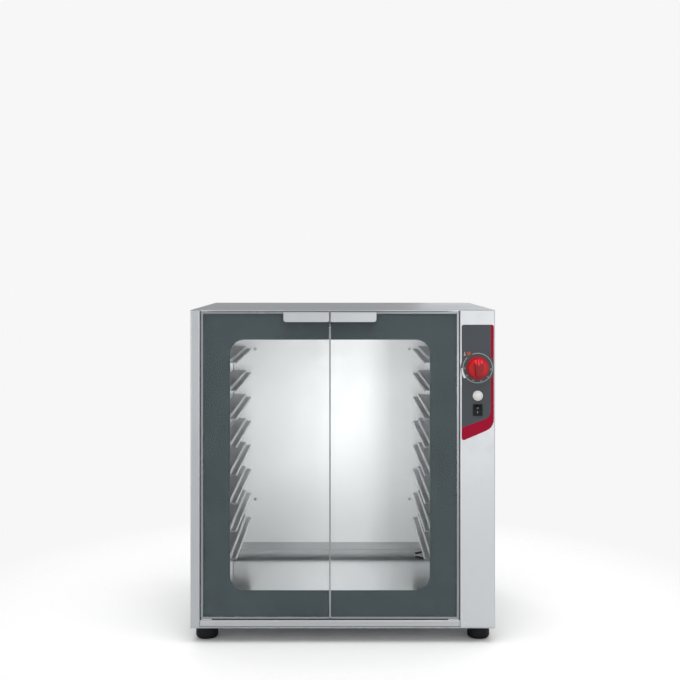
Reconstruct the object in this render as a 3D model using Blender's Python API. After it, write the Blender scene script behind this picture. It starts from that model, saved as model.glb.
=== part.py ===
"""Proofing cabinet with two glass doors, eight levels of tray runners and a control column.

Metres, +Z up, front towards -Y. The origin is on the floor under the middle of the whole object.
"""

import math

import bmesh
import bpy
from mathutils import Matrix, Vector

# Sheet metal and clearances
OUTER_SHEET = 0.0012
INNER_SHEET = 0.0010
FOLD_RADIUS = 0.0015
FOLD_STEPS = 2
SEAT = 0.0003
OVERRUN = 0.004
ROUND_STEPS = 5
SMOOTH_ANGLE_DEG = 35.0

# Cabinet body
BODY_WIDTH = 0.800
BODY_DEPTH = 0.600
OVERALL_HEIGHT = 0.875
FOOT_HEIGHT = 0.040
BASE_RIM = 0.003
JAMB_WIDTH = 0.025
COLUMN_WIDTH = 0.092
COLUMN_RETURN = 0.018
SILL_HEIGHT = 0.022
TOP_LIP = 0.0025
SHELL_FLANGE = 0.015
TOP_FLANGE_DROP = 0.012
TOP_FLANGE_SETBACK = 0.060

# Chamber, set back from the opening in the shell
CHAMBER_LEFT_INSET = 0.035
CHAMBER_RIGHT_INSET = 0.033
CHAMBER_FLOOR_RISE = 0.059
CHAMBER_CEILING_DROP = 0.045
CHAMBER_REAR_SPACE = 0.015
MOUTH_SETBACK = 0.017
MOUTH_LAP = 0.012
MOUTH_RADIUS = 0.004
LINER_FLANGE = 0.012
PLENUM_DEPTH = 0.030
BAFFLE_END_GAP = 0.030
STUD_RADIUS = 0.005
STUD_LEFT_INSET = 0.068
STUD_RIGHT_INSET = 0.066
STUD_LOW_INSET = 0.135
STUD_HIGH_INSET = 0.068

# Mouth gasket
GASKET_WIDTH = 0.010
GASKET_MARGIN = 0.001
GASKET_CORNER = 0.010
GASKET_NECK_SHARE = 0.36
GASKET_TIP_SHARE = 0.20
GASKET_HEIGHT_SHARES = (0, 0.25, 0.38, 0.74, 1)

# Tray runners, as many as the chamber has room for
RUNNER_FIRST_RISE = 0.117
RUNNER_SPACING = 0.075
RUNNER_HEADROOM = 0.080
RUNNER_SHELF = 0.040
RUNNER_LEDGE = 0.016
RUNNER_STEP = 0.008
RUNNER_LIP = 0.005
RUNNER_WALL_FLANGE = 0.014
RUNNER_FRONT = 0.051
RUNNER_END_GAP = 0.001
RUNNER_NOSE_RADIUS = 0.010

# Doors
DOOR_THICKNESS = 0.008
DOOR_SIDE_GAP = 0.0035
DOOR_TOP_GAP = 0.002
DOOR_BOTTOM_GAP = 0.003
MEETING_GAP = 0.0046
GLASS_THICKNESS = 0.005
TRIM_WIDTH = 0.005
TRIM_LEG_WIDTH = 0.010
TRIM_LEG_THICKNESS = 0.002
PRINT_THICKNESS = 0.0004
BORDER_SIDE = 0.0755
BORDER_END = 0.0735
WINDOW_RADIUS = 0.037
SEAL_TOP_DROP = 0.042
SEAL_NOSE = 0.0012
HANDLE_LENGTH = 0.119
HANDLE_HEIGHT = 0.026
HANDLE_REACH = 0.020
HANDLE_SHEET = 0.002
HANDLE_FOLD = 0.003
HANDLE_OUTER_CORNER = 0.007
HANDLE_MEETING_CORNER = 0.0037

# Door pivots
PIVOT_INSET = 0.0105
PIN_RADIUS = 0.002
PIN_CLEARANCE = 0.0003
PIN_END_GAP = 0.0004
PLATE_THICKNESS = 0.002
PLATE_LENGTH = 0.028
PLATE_CORNER = 0.003
COLLAR_RADIUS = 0.0034

# Control column layout, measured down from the top of the cabinet
OVERLAY_TOP_DROP = 0.0385
KNOB_DROP = 0.152
LAMP_DROP = 0.2245
SWITCH_DROP = 0.262
OVERLAY_BOTTOM_DROP = 0.344
OVERLAY_THICKNESS = 0.0008
OVERLAY_LEFT_MARGIN = 0.0042
OVERLAY_RIGHT_MARGIN = 0.0036
OVERLAY_CORNER = 0.0055
OVERLAY_FOOT_RISE = 0.036
OVERLAY_FOOT_RADIUS = 0.032

# Knob and thermostat
KNOB_RADIUS = 0.0295
KNOB_SKIRT = 0.0045
KNOB_BODY_HEIGHT = 0.012
KNOB_BODY_RADIUS = 0.025
KNOB_WALL = 0.0022
KNOB_CAVITY = 0.005
KNOB_GAP = 0.001
KNOB_HEIGHT = 0.025
GRIP_TOP_HALF = 0.0115
GRIP_BOTTOM_HALF = 0.0075
GRIP_LENGTH_SHARE = 0.95
GRIP_DRAFT = 0.0016
GRIP_ROOF = 0.0005
GRIP_BEVEL_STEPS = 2
POINTER_HALF = 0.0022
POINTER_LENGTH = 0.009
POINTER_DEPTH = 0.0012
HUB_RADIUS = 0.0065
HUB_DEPTH = 0.011
SPINDLE_RADIUS = 0.003
SPINDLE_FLAT = 0.0021
SPINDLE_INSIDE = 0.016
BUSH_RADIUS = 0.0047
BUSH_NOSE = 0.0005
THERMOSTAT_SIZE = 0.044
THERMOSTAT_DEPTH = 0.028
THERMOSTAT_CORNER = 0.004
CAPILLARY_RADIUS = 0.001
BULB_RADIUS = 0.003
BULB_LENGTH = 0.024
PROBE_WALL_RISE = 0.0155
PROBE_TIP_RISE = 0.0045
PROBE_BAFFLE_GAP = 0.039
PROBE_REACH = 0.051
PROBE_DROP = 0.030

# Lamp, switch and other electrical pieces
LAMP_RADIUS = 0.0135
LAMP_DOME = 0.0065
LAMP_RIM = 0.002
LAMP_STEM_RADIUS = 0.006
LAMP_NUT_RADIUS = 0.009
LAMP_NUT = 0.004
LAMP_BODY_DEPTH = 0.022
SWITCH_WIDTH = 0.025
SWITCH_HEIGHT = 0.031
SWITCH_BEZEL = 0.002
SWITCH_BEZEL_CORNER = 0.0015
SWITCH_BODY_WIDTH = 0.0212
SWITCH_BODY_HEIGHT = 0.0272
SWITCH_BODY_DEPTH = 0.024
SWITCH_WALL = 0.0013
SWITCH_POCKET_DEPTH = 0.014
ROCKER_PIVOT_DEPTH = 0.004
ROCKER_HALF_HEIGHT = 0.0112
ROCKER_TIP = 0.007
ROCKER_VALLEY = 0.0042
ROCKER_HIP = 0.002
ROCKER_KEEL = 0.005
ROCKER_KEEL_HALF = 0.004
ROCKER_TRUNNION = 0.0013
ROCKER_TILT_DEG = 8.0
TERMINAL_LENGTH = 0.050
TERMINAL_DEPTH = 0.018
TERMINAL_HEIGHT = 0.020
TERMINAL_WAYS = 4
TERMINAL_RIB = 0.0016
TERMINAL_STEP = 0.007
TERMINAL_REAR_SPACE = 0.102
GLAND_SIDE_INSET = 0.055
GLAND_RISE = 0.070
GLAND_THREAD_RADIUS = 0.0097
GLAND_BORE_RADIUS = 0.0048
GLAND_HEX_ACROSS = 0.024
GLAND_HEX_DEPTH = 0.006
GLAND_DOME_RADIUS = 0.0115
GLAND_DOME_TIP_RADIUS = 0.0085
GLAND_DOME_LENGTH = 0.014
GLAND_LOCKNUT_DEPTH = 0.005
GLAND_INSIDE = 0.010

# Heater
HEATER_RADIUS = 0.004
HEATER_RISE = 0.071
HEATER_PASS_SPACING = 0.060
HEATER_PASSES = 4
HEATER_INSET = 0.085
HEATER_TAIL = 0.030
HEATER_TURN_STEPS = 8
BRACKET_INSET = 0.150
BRACKET_MARGIN = 0.014
FLANGE_THICKNESS = 0.002
FLANGE_HALF_WIDTH = 0.011

# Vents in the back panel
VENT_LENGTH = 0.052
VENT_WIDTH = 0.005
VENT_SPACING = 0.012
VENT_COUNT = 6
VENT_LOW_RISE = 0.130
VENT_HIGH_DROP = 0.135

# Feet
FOOT_RADIUS = 0.0295
FOOT_EDGE = 0.009
FOOT_SIDE_INSET = 0.0375
FOOT_END_INSET = 0.058
FOOT_NECK = 0.0015
FOOT_NECK_HEIGHT = 0.005

# Round faces
FOOT_SEGMENTS = 28
KNOB_SEGMENTS = 40
LAMP_SEGMENTS = 32
SMALL_SEGMENTS = 20
PIN_SEGMENTS = 14
HEATER_SEGMENTS = 10
PROBE_SEGMENTS = 8
HEX_SIDES = 6

# Places worked out from the sizes above
OVERLAY_STACK = SEAT + OVERLAY_THICKNESS
FRONT_REACH = OVERLAY_STACK + KNOB_GAP + KNOB_HEIGHT
REAR_REACH = SEAT + GLAND_HEX_DEPTH + GLAND_DOME_LENGTH
FRONT_Y = FRONT_REACH - (BODY_DEPTH + FRONT_REACH + REAR_REACH) / 2
BACK_Y = FRONT_Y + BODY_DEPTH
SIDE_X = BODY_WIDTH / 2
OPENING_LEFT = JAMB_WIDTH - SIDE_X
OPENING_RIGHT = SIDE_X - COLUMN_WIDTH
SHELL_BOTTOM = FOOT_HEIGHT + BASE_RIM + SEAT
SHELL_TOP = OVERALL_HEIGHT - OUTER_SHEET - SEAT
SHELL_REAR_Y = BACK_Y - OUTER_SHEET - SEAT
SILL_TOP = FOOT_HEIGHT + SILL_HEIGHT
MOUTH_Y = FRONT_Y + MOUTH_SETBACK
CHAMBER_LEFT = OPENING_LEFT + CHAMBER_LEFT_INSET
CHAMBER_RIGHT = OPENING_RIGHT - CHAMBER_RIGHT_INSET
CHAMBER_FLOOR = FOOT_HEIGHT + CHAMBER_FLOOR_RISE
CHAMBER_CEILING = OVERALL_HEIGHT - CHAMBER_CEILING_DROP
LINER_FRONT_Y = MOUTH_Y + INNER_SHEET + SEAT
LINER_REAR_Y = BACK_Y - CHAMBER_REAR_SPACE
BAFFLE_Y = LINER_REAR_Y - PLENUM_DEPTH - INNER_SHEET
BAFFLE_BOTTOM = CHAMBER_FLOOR + BAFFLE_END_GAP
BAFFLE_TOP = CHAMBER_CEILING - BAFFLE_END_GAP
BACK_WALL_Y = LINER_REAR_Y + SEAT
HEATER_Y = BAFFLE_Y + INNER_SHEET + PLENUM_DEPTH / 2
HEATER_LOW_Z = CHAMBER_FLOOR + HEATER_RISE
RUNNER_FIRST_Z = CHAMBER_FLOOR + RUNNER_FIRST_RISE
RUNNER_LEVELS = 1 + int((CHAMBER_CEILING - RUNNER_HEADROOM - RUNNER_FIRST_Z) / RUNNER_SPACING)
DOOR_LEFT = OPENING_LEFT + DOOR_SIDE_GAP
DOOR_RIGHT = OPENING_RIGHT - DOOR_SIDE_GAP
DOOR_BOTTOM = SILL_TOP + DOOR_BOTTOM_GAP
DOOR_TOP = OVERALL_HEIGHT - TOP_LIP - DOOR_TOP_GAP
MEETING_X = (DOOR_LEFT + DOOR_RIGHT) / 2
LEFT_MEETING = MEETING_X - MEETING_GAP / 2
RIGHT_MEETING = MEETING_X + MEETING_GAP / 2
PRINT_Y = FRONT_Y + GLASS_THICKNESS + SEAT
PIVOT_Y = FRONT_Y + DOOR_THICKNESS / 2
LEFT_PIVOT_X = DOOR_LEFT + PIVOT_INSET
RIGHT_PIVOT_X = DOOR_RIGHT - PIVOT_INSET
PANEL_REAR_Y = FRONT_Y + OUTER_SHEET
OVERLAY_FRONT_Y = FRONT_Y - OVERLAY_STACK
OVERLAY_TOP = OVERALL_HEIGHT - OVERLAY_TOP_DROP
OVERLAY_BOTTOM = OVERALL_HEIGHT - OVERLAY_BOTTOM_DROP
CONTROL_X = OPENING_RIGHT + COLUMN_WIDTH / 2
KNOB_Z = OVERALL_HEIGHT - KNOB_DROP
LAMP_Z = OVERALL_HEIGHT - LAMP_DROP
SWITCH_Z = OVERALL_HEIGHT - SWITCH_DROP
ROCKER_Y = FRONT_Y + ROCKER_PIVOT_DEPTH
PROBE_Y = BAFFLE_Y - PROBE_BAFFLE_GAP
PROBE_WALL_Z = CHAMBER_FLOOR + PROBE_WALL_RISE
PROBE_TIP_Z = CHAMBER_FLOOR + PROBE_TIP_RISE
GLAND_X = SIDE_X - GLAND_SIDE_INSET
GLAND_Z = FOOT_HEIGHT + GLAND_RISE

# Colour, roughness and metallic value of each finish
FINISHES = {
    "brushed_steel": ((0.62, 0.64, 0.66), 0.32, 1.0),
    "liner_steel": ((0.70, 0.71, 0.73), 0.24, 1.0),
    "galvanised": ((0.52, 0.54, 0.56), 0.45, 1.0),
    "trim_metal": ((0.66, 0.68, 0.70), 0.28, 1.0),
    "handle_steel": ((0.76, 0.78, 0.80), 0.30, 1.0),
    "border_print": ((0.071, 0.087, 0.093), 0.35, 0.0),
    "overlay_film": ((0.075, 0.084, 0.093), 0.45, 0.0),
    "glass": ((0.90, 0.95, 0.95), 0.03, 0.0),
    "red_plastic": ((0.55, 0.015, 0.02), 0.30, 0.0),
    "black_plastic": ((0.012, 0.012, 0.014), 0.35, 0.0),
    "white_plastic": ((0.75, 0.74, 0.72), 0.40, 0.0),
    "black_rubber": ((0.015, 0.017, 0.020), 0.60, 0.0),
    "grey_rubber": ((0.42, 0.43, 0.44), 0.55, 0.0),
    "heater_steel": ((0.30, 0.30, 0.31), 0.40, 1.0),
}


def clear_scene():
    for obj in list(bpy.data.objects):
        bpy.data.objects.remove(obj, do_unlink=True)


def make_material(name, finish):
    """A Principled material of its own for one piece."""
    colour, roughness, metallic = FINISHES[finish]
    material = bpy.data.materials.new(name)
    material.use_nodes = True
    shader = material.node_tree.nodes["Principled BSDF"]
    shader.inputs["Base Color"].default_value = (*colour, 1.0)
    shader.inputs["Roughness"].default_value = roughness
    shader.inputs["Metallic"].default_value = metallic
    if finish == "glass":
        shader.inputs["Transmission Weight"].default_value = 1.0
    return material


def make_object(name, bm, finish, smooth=False, origin=None):
    """Turns a closed bmesh into a named object, with its origin at the given point."""
    bmesh.ops.recalc_face_normals(bm, faces=bm.faces)
    if origin is not None:
        bmesh.ops.translate(bm, verts=bm.verts, vec=-Vector(origin))
    mesh = bpy.data.meshes.new(name)
    bm.to_mesh(mesh)
    bm.free()
    if smooth:
        mesh.shade_smooth()
        mesh.set_sharp_from_angle(angle=math.radians(SMOOTH_ANGLE_DEG))
    obj = bpy.data.objects.new(name, mesh)
    obj.data.materials.append(make_material(name, finish))
    bpy.context.scene.collection.objects.link(obj)
    if origin is not None:
        obj.location = origin
    return obj


def along(axis, u, v, w):
    """A point of a profile plane (u, v) at the depth w along the named axis."""
    if axis == "X":
        return Vector((w, u, v))
    if axis == "Y":
        return Vector((u, w, v))
    return Vector((u, v, w))


def arc(centre, radius, start, end, steps):
    """Points on an arc, from the start angle to the end angle, in radians."""
    points = []
    for i in range(steps + 1):
        angle = start + (end - start) * i / steps
        points.append((centre[0] + radius * math.cos(angle), centre[1] + radius * math.sin(angle)))
    return points


def circle(centre, radius, segments):
    return arc(centre, radius, 0, math.tau * (segments - 1) / segments, segments - 1)


def turn_between(before, after):
    """The signed angle from one direction to the next."""
    cross = before.x * after.y - before.y * after.x
    return math.atan2(cross, before.dot(after))


def fillet(corner, before, after, radius, steps):
    """Points of the arc that rounds one corner between two unit directions."""
    turn = turn_between(before, after)
    side = 1 if turn > 0 else -1
    inward = Vector((-before.y, before.x)) * side
    setback = radius * math.tan(abs(turn) / 2)
    centre = corner - before * setback + inward * radius
    start = math.atan2(-inward.y, -inward.x)
    return arc(centre, radius, start, start + turn, steps)


def rounded(corners, radii, steps=ROUND_STEPS):
    """A closed outline with a radius at each corner; a radius of zero keeps it sharp."""
    points = []
    count = len(corners)
    for i, radius in enumerate(radii):
        corner = Vector(corners[i])
        before = (corner - Vector(corners[i - 1])).normalized()
        after = (Vector(corners[(i + 1) % count]) - corner).normalized()
        if radius > 0:
            points += fillet(corner, before, after, radius, steps)
        else:
            points.append(tuple(corner))
    return points


def rectangle(low, high, radius=0):
    corners = [(low[0], low[1]), (high[0], low[1]), (high[0], high[1]), (low[0], high[1])]
    return rounded(corners, [radius] * len(corners))


def folded(path, sheet, side, bend=FOLD_RADIUS, steps=FOLD_STEPS):
    """The outline of a sheet folded along a path, with its thickness to one side of it.

    side is 1 where the metal lies to the left of the path and -1 where it lies to the right.
    """
    points = [Vector(p) for p in path]
    near, far = [], []
    last = len(points) - 1
    for i, corner in enumerate(points):
        before = (corner - points[i - 1]).normalized() if i > 0 else None
        after = (points[i + 1] - corner).normalized() if i < last else None
        if before is None or after is None:
            way = after if before is None else before
            normal = Vector((-way.y, way.x)) * side
            near.append(tuple(corner))
            far.append(tuple(corner + normal * sheet))
            continue
        turn = turn_between(before, after)
        inner_is_far = (turn > 0) == (side > 0)
        near_radius = bend + sheet if inner_is_far else bend
        far_radius = bend if inner_is_far else bend + sheet
        arc_near = fillet(corner, before, after, near_radius, steps)
        first_normal = Vector((-before.y, before.x)) * (1 if turn > 0 else -1)
        setback = near_radius * math.tan(abs(turn) / 2)
        centre = corner - before * setback + first_normal * near_radius
        near += arc_near
        far += [tuple(centre + (Vector(p) - centre) * (far_radius / near_radius)) for p in arc_near]
    return near + far[::-1]


def filled(bm, outline, holes, axis, depth):
    """Flat faces inside an outline and round its holes, and the loops of the holes."""
    edges = []
    loops = []
    for loop in [outline, *holes]:
        verts = [bm.verts.new(along(axis, u, v, depth)) for u, v in loop]
        loops.append(verts)
        edges += [bm.edges.new((verts[i - 1], verts[i])) for i in range(len(verts))]
    if holes:
        bmesh.ops.triangle_fill(bm, use_beauty=True, edges=edges)
    else:
        bm.faces.new(loops[0])
    return loops[1:]


def push(bm, faces, offset):
    """Extrudes a region by an offset; faces that lie in a closed skin move out with it."""
    in_skin = all(len(edge.link_faces) == 2 for face in faces for edge in face.edges)
    made = bmesh.ops.extrude_face_region(bm, geom=faces)
    verts = [g for g in made["geom"] if isinstance(g, bmesh.types.BMVert)]
    bmesh.ops.translate(bm, verts=verts, vec=offset)
    if in_skin:
        bmesh.ops.delete(bm, geom=faces, context="FACES")


def prism(outline, axis, start, end, holes=()):
    """A bmesh of an outline with holes, extruded along an axis."""
    bm = bmesh.new()
    filled(bm, outline, holes, axis, start)
    push(bm, list(bm.faces), along(axis, 0, 0, end - start))
    bmesh.ops.recalc_face_normals(bm, faces=bm.faces)
    return bm


def extrude_piece(name, outline, axis, start, end, finish, holes=(), smooth=False):
    return make_object(name, prism(outline, axis, start, end, holes), finish, smooth)


def turned(profile, segments, place, way):
    """A bmesh of a profile of (radius, height) points spun about a line through a point."""
    bm = bmesh.new()
    verts = [bm.verts.new((r, 0, h)) for r, h in profile]
    edges = [bm.edges.new((verts[i], verts[i + 1])) for i in range(len(verts) - 1)]
    if profile[0][0] > 0 and profile[-1][0] > 0:
        edges.append(bm.edges.new((verts[-1], verts[0])))
    bmesh.ops.spin(
        bm,
        geom=verts + edges,
        axis=(0, 0, 1),
        cent=(0, 0, 0),
        angle=math.tau,
        steps=segments,
        use_merge=True,
    )
    bmesh.ops.remove_doubles(bm, verts=bm.verts, dist=SEAT / 100)
    bmesh.ops.recalc_face_normals(bm, faces=bm.faces)
    turn = Vector((0, 0, 1)).rotation_difference(Vector(way)).to_matrix().to_4x4()
    bmesh.ops.transform(bm, matrix=Matrix.Translation(place) @ turn, verts=bm.verts)
    return bm


def swept(section, path, closed):
    """A bmesh of a section of (inward, depth) points carried along a path in the XZ plane."""
    bm = bmesh.new()
    points = [Vector(p) for p in path]
    count = len(points)
    rings = []
    for i, point in enumerate(points):
        ways = []
        if closed or i > 0:
            ways.append((point - points[i - 1]).normalized())
        if closed or i < count - 1:
            ways.append((points[(i + 1) % count] - point).normalized())
        normals = [Vector((-way.y, way.x)) for way in ways]
        total = normals[0] + normals[-1]
        mitre = total / (1 + normals[0].dot(normals[-1]))
        ring = []
        for inward, depth in section:
            spot = point + mitre * inward
            ring.append(bm.verts.new((spot.x, depth, spot.y)))
        rings.append(ring)
    size = len(section)
    for i in range(count if closed else count - 1):
        ring, after = rings[i], rings[(i + 1) % count]
        for k in range(size):
            bm.faces.new((ring[k - 1], ring[k], after[k], after[k - 1]))
    if not closed:
        bm.faces.new(rings[0])
        bm.faces.new(rings[-1])
    return bm


def cutter(name, bm):
    """A hidden shape that only cuts or joins."""
    shape = make_object(name, bm, "galvanised")
    shape.hide_render = True
    shape.hide_set(True)
    shape.display_type = "WIRE"
    return shape


def combine(obj, shape, operation):
    modifier = obj.modifiers.new(shape.name, "BOOLEAN")
    modifier.operation = operation
    modifier.solver = "EXACT"
    modifier.object = shape


def cut(obj, name, bm):
    combine(obj, cutter(name, bm), "DIFFERENCE")


def join(obj, name, bm):
    combine(obj, cutter(name, bm), "UNION")


def piped(points, radii, segments):
    """A bmesh of a round rod or tube carried along points in space, closed at both ends."""
    bm = bmesh.new()
    points = [Vector(p) for p in points]
    last = len(points) - 1
    ways = [(points[i + 1] - points[i]).normalized() for i in range(last)]
    across = ways[0].orthogonal().normalized()
    rings = []
    for i, point in enumerate(points):
        before = ways[max(i - 1, 0)]
        after = ways[min(i, last - 1)]
        across = (across - before * across.dot(before)).normalized()
        up = before.cross(across)
        plane = (before + after).normalized()
        ring = []
        for turn_x, turn_y in circle((0, 0), radii[i], segments):
            spot = across * turn_x + up * turn_y
            spot -= before * (spot.dot(plane) / before.dot(plane))
            ring.append(bm.verts.new(point + spot))
        rings.append(ring)
    for ring, after in zip(rings, rings[1:]):
        for k in range(segments):
            bm.faces.new((ring[k - 1], ring[k], after[k], after[k - 1]))
    bm.faces.new(rings[0])
    bm.faces.new(rings[-1])
    bmesh.ops.recalc_face_normals(bm, faces=bm.faces)
    return bm


def parent_to_axis(name, place, children):
    """Puts moving pieces under an empty that stands on their joint's axis."""
    empty = bpy.data.objects.new(name, None)
    empty.location = place
    bpy.context.scene.collection.objects.link(empty)
    for child in children:
        child.parent = empty
        child.matrix_parent_inverse = Matrix.Translation(place).inverted()


def build_base():
    """The base tray, a sheet with a rim turned down all round, and the rail under the doors."""
    outline = rectangle((-SIDE_X, FRONT_Y), (SIDE_X, BACK_Y))
    bm = prism(outline, "Z", FOOT_HEIGHT, FOOT_HEIGHT + BASE_RIM)
    under = [f for f in bm.faces if f.normal.z < 0 and abs(f.normal.z) > abs(f.normal.x + f.normal.y)]
    bmesh.ops.inset_region(bm, faces=under, thickness=OUTER_SHEET, use_even_offset=True)
    lift = BASE_RIM - OUTER_SHEET
    bmesh.ops.translate(bm, verts=list({v for f in under for v in f.verts}), vec=(0, 0, lift))
    make_object("base_pan", bm, "brushed_steel")

    rear = MOUTH_Y - SEAT
    path = [(rear, SILL_TOP), (FRONT_Y, SILL_TOP), (FRONT_Y, SHELL_BOTTOM), (rear, SHELL_BOTTOM)]
    outline = folded(path, OUTER_SHEET, 1)
    ends = (OPENING_LEFT + SEAT, OPENING_RIGHT - SEAT)
    extrude_piece("front_sill", outline, "X", *ends, "brushed_steel")


def build_side_panels():
    """Outer side sheets: the left one is folded round to the front as the door jamb."""
    return_y = MOUTH_Y - SEAT
    left = [
        (OPENING_LEFT, return_y),
        (OPENING_LEFT, FRONT_Y),
        (-SIDE_X, FRONT_Y),
        (-SIDE_X, SHELL_REAR_Y),
        (SHELL_FLANGE - SIDE_X, SHELL_REAR_Y),
    ]
    outline = folded(left, OUTER_SHEET, -1)
    extrude_piece("left_side_panel", outline, "Z", SHELL_BOTTOM, SHELL_TOP, "brushed_steel")

    seam_y = FRONT_Y + COLUMN_RETURN + SEAT
    right = [
        (SIDE_X - SHELL_FLANGE, seam_y),
        (SIDE_X, seam_y),
        (SIDE_X, SHELL_REAR_Y),
        (SIDE_X - SHELL_FLANGE, SHELL_REAR_Y),
    ]
    outline = folded(right, OUTER_SHEET, 1)
    extrude_piece("right_side_panel", outline, "Z", SHELL_BOTTOM, SHELL_TOP, "brushed_steel")


def build_top_panel():
    """The lid: one sheet with a lip over the doors and flanges inside the sides and back."""
    sheet_bottom = OVERALL_HEIGHT - OUTER_SHEET
    outline = rectangle((-SIDE_X, FRONT_Y), (SIDE_X, BACK_Y))
    bm = prism(outline, "Z", sheet_bottom, OVERALL_HEIGHT)
    inner_x = SIDE_X - OUTER_SHEET - SEAT
    flange_front = FRONT_Y + TOP_FLANGE_SETBACK
    flange_rear = BACK_Y - TOP_FLANGE_SETBACK
    rear_x = SIDE_X - SHELL_FLANGE - SEAT
    folds = [
        (OPENING_LEFT + SEAT, OPENING_RIGHT - SEAT, FRONT_Y, FRONT_Y + OUTER_SHEET, TOP_LIP),
        (-inner_x, OUTER_SHEET - inner_x, flange_front, flange_rear, TOP_FLANGE_DROP),
        (inner_x - OUTER_SHEET, inner_x, flange_front, flange_rear, TOP_FLANGE_DROP),
        (-rear_x, rear_x, SHELL_REAR_Y - OUTER_SHEET, SHELL_REAR_Y, TOP_FLANGE_DROP),
    ]
    cuts_x = sorted({x for fold in folds for x in fold[:2]})
    cuts_y = sorted({y for fold in folds for y in fold[2:4]} - {FRONT_Y})
    planes = [((x, 0, 0), (1, 0, 0)) for x in cuts_x] + [((0, y, 0), (0, 1, 0)) for y in cuts_y]
    for place, normal in planes:
        geom = bm.verts[:] + bm.edges[:] + bm.faces[:]
        bmesh.ops.bisect_plane(bm, geom=geom, dist=SEAT / 100, plane_co=place, plane_no=normal)
    for x0, x1, y0, y1, drop in folds:
        chosen = []
        for face in bm.faces:
            spot = face.calc_center_median()
            flat = abs(spot.z - sheet_bottom) < SEAT
            if flat and x0 < spot.x < x1 and y0 < spot.y < y1:
                chosen.append(face)
        push(bm, chosen, Vector((0, 0, OUTER_SHEET - drop)))
    make_object("top_panel", bm, "brushed_steel")


def slot(centre, length, width):
    """The outline of a vent slot with round ends, lying along X."""
    half = (length - width) / 2
    right = arc((centre[0] + half, centre[1]), width / 2, -math.pi / 2, math.pi / 2, ROUND_STEPS)
    left = arc((centre[0] - half, centre[1]), width / 2, math.pi / 2, math.pi * 3 / 2, ROUND_STEPS)
    return right + left


def build_back_panel():
    """The rear sheet, with vents high and low behind the control compartment."""
    holes = [circle((GLAND_X, GLAND_Z), GLAND_THREAD_RADIUS + SEAT, SMALL_SEGMENTS)]
    for low in (FOOT_HEIGHT + VENT_LOW_RISE, OVERALL_HEIGHT - VENT_HIGH_DROP):
        for i in range(VENT_COUNT):
            holes.append(slot((GLAND_X, low + i * VENT_SPACING), VENT_LENGTH, VENT_WIDTH))
    outline = rectangle((-SIDE_X, SHELL_BOTTOM), (SIDE_X, SHELL_TOP))
    extrude_piece("back_panel", outline, "Y", BACK_Y - OUTER_SHEET, BACK_Y, "galvanised", holes)


def overlay_outline():
    """The film's outline: square at the top, with a slanted foot that ends in a wide curve."""
    left = OPENING_RIGHT + OVERLAY_LEFT_MARGIN
    right = SIDE_X - OVERLAY_RIGHT_MARGIN
    corners = [
        (left, OVERLAY_BOTTOM),
        (right, OVERLAY_BOTTOM + OVERLAY_FOOT_RISE),
        (right, OVERLAY_TOP),
        (left, OVERLAY_TOP),
    ]
    return rounded(corners, [OVERLAY_CORNER, OVERLAY_FOOT_RADIUS, OVERLAY_CORNER, OVERLAY_CORNER])


def control_holes(bush_gap, lamp_gap, switch_gap):
    """Outlines of the three cut-outs for the thermostat, the lamp and the switch."""
    half_width = SWITCH_BODY_WIDTH / 2 + switch_gap
    half_height = SWITCH_BODY_HEIGHT / 2 + switch_gap
    low = (CONTROL_X - half_width, SWITCH_Z - half_height)
    high = (CONTROL_X + half_width, SWITCH_Z + half_height)
    return [
        circle((CONTROL_X, KNOB_Z), BUSH_RADIUS + bush_gap, SMALL_SEGMENTS),
        circle((CONTROL_X, LAMP_Z), LAMP_STEM_RADIUS + lamp_gap, SMALL_SEGMENTS),
        rectangle(low, high),
    ]


def build_column():
    """The folded front of the control compartment, with its film."""
    path = [
        (OPENING_RIGHT, MOUTH_Y - SEAT),
        (OPENING_RIGHT, FRONT_Y),
        (SIDE_X, FRONT_Y),
        (SIDE_X, FRONT_Y + COLUMN_RETURN),
    ]
    outline = folded(path, OUTER_SHEET, 1)
    column = extrude_piece("control_column", outline, "Z", SHELL_BOTTOM, SHELL_TOP, "brushed_steel")
    for i, hole in enumerate(control_holes(SEAT, SEAT, SEAT)):
        cut(column, f"column_cutter_{i}", prism(hole, "Y", FRONT_Y - OVERRUN, PANEL_REAR_Y + OVERRUN))
    holes = control_holes(SEAT, SEAT, SEAT)
    rear = FRONT_Y - SEAT
    extrude_piece("control_overlay", overlay_outline(), "Y", OVERLAY_FRONT_Y, rear, "overlay_film", holes)


def heater_heights():
    return [HEATER_LOW_Z + i * HEATER_PASS_SPACING for i in range(HEATER_PASSES)]


def heater_exits():
    """The heights at which the two ends of the heater leave the chamber."""
    heights = heater_heights()
    return [heights[0], heights[-1]]


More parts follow.
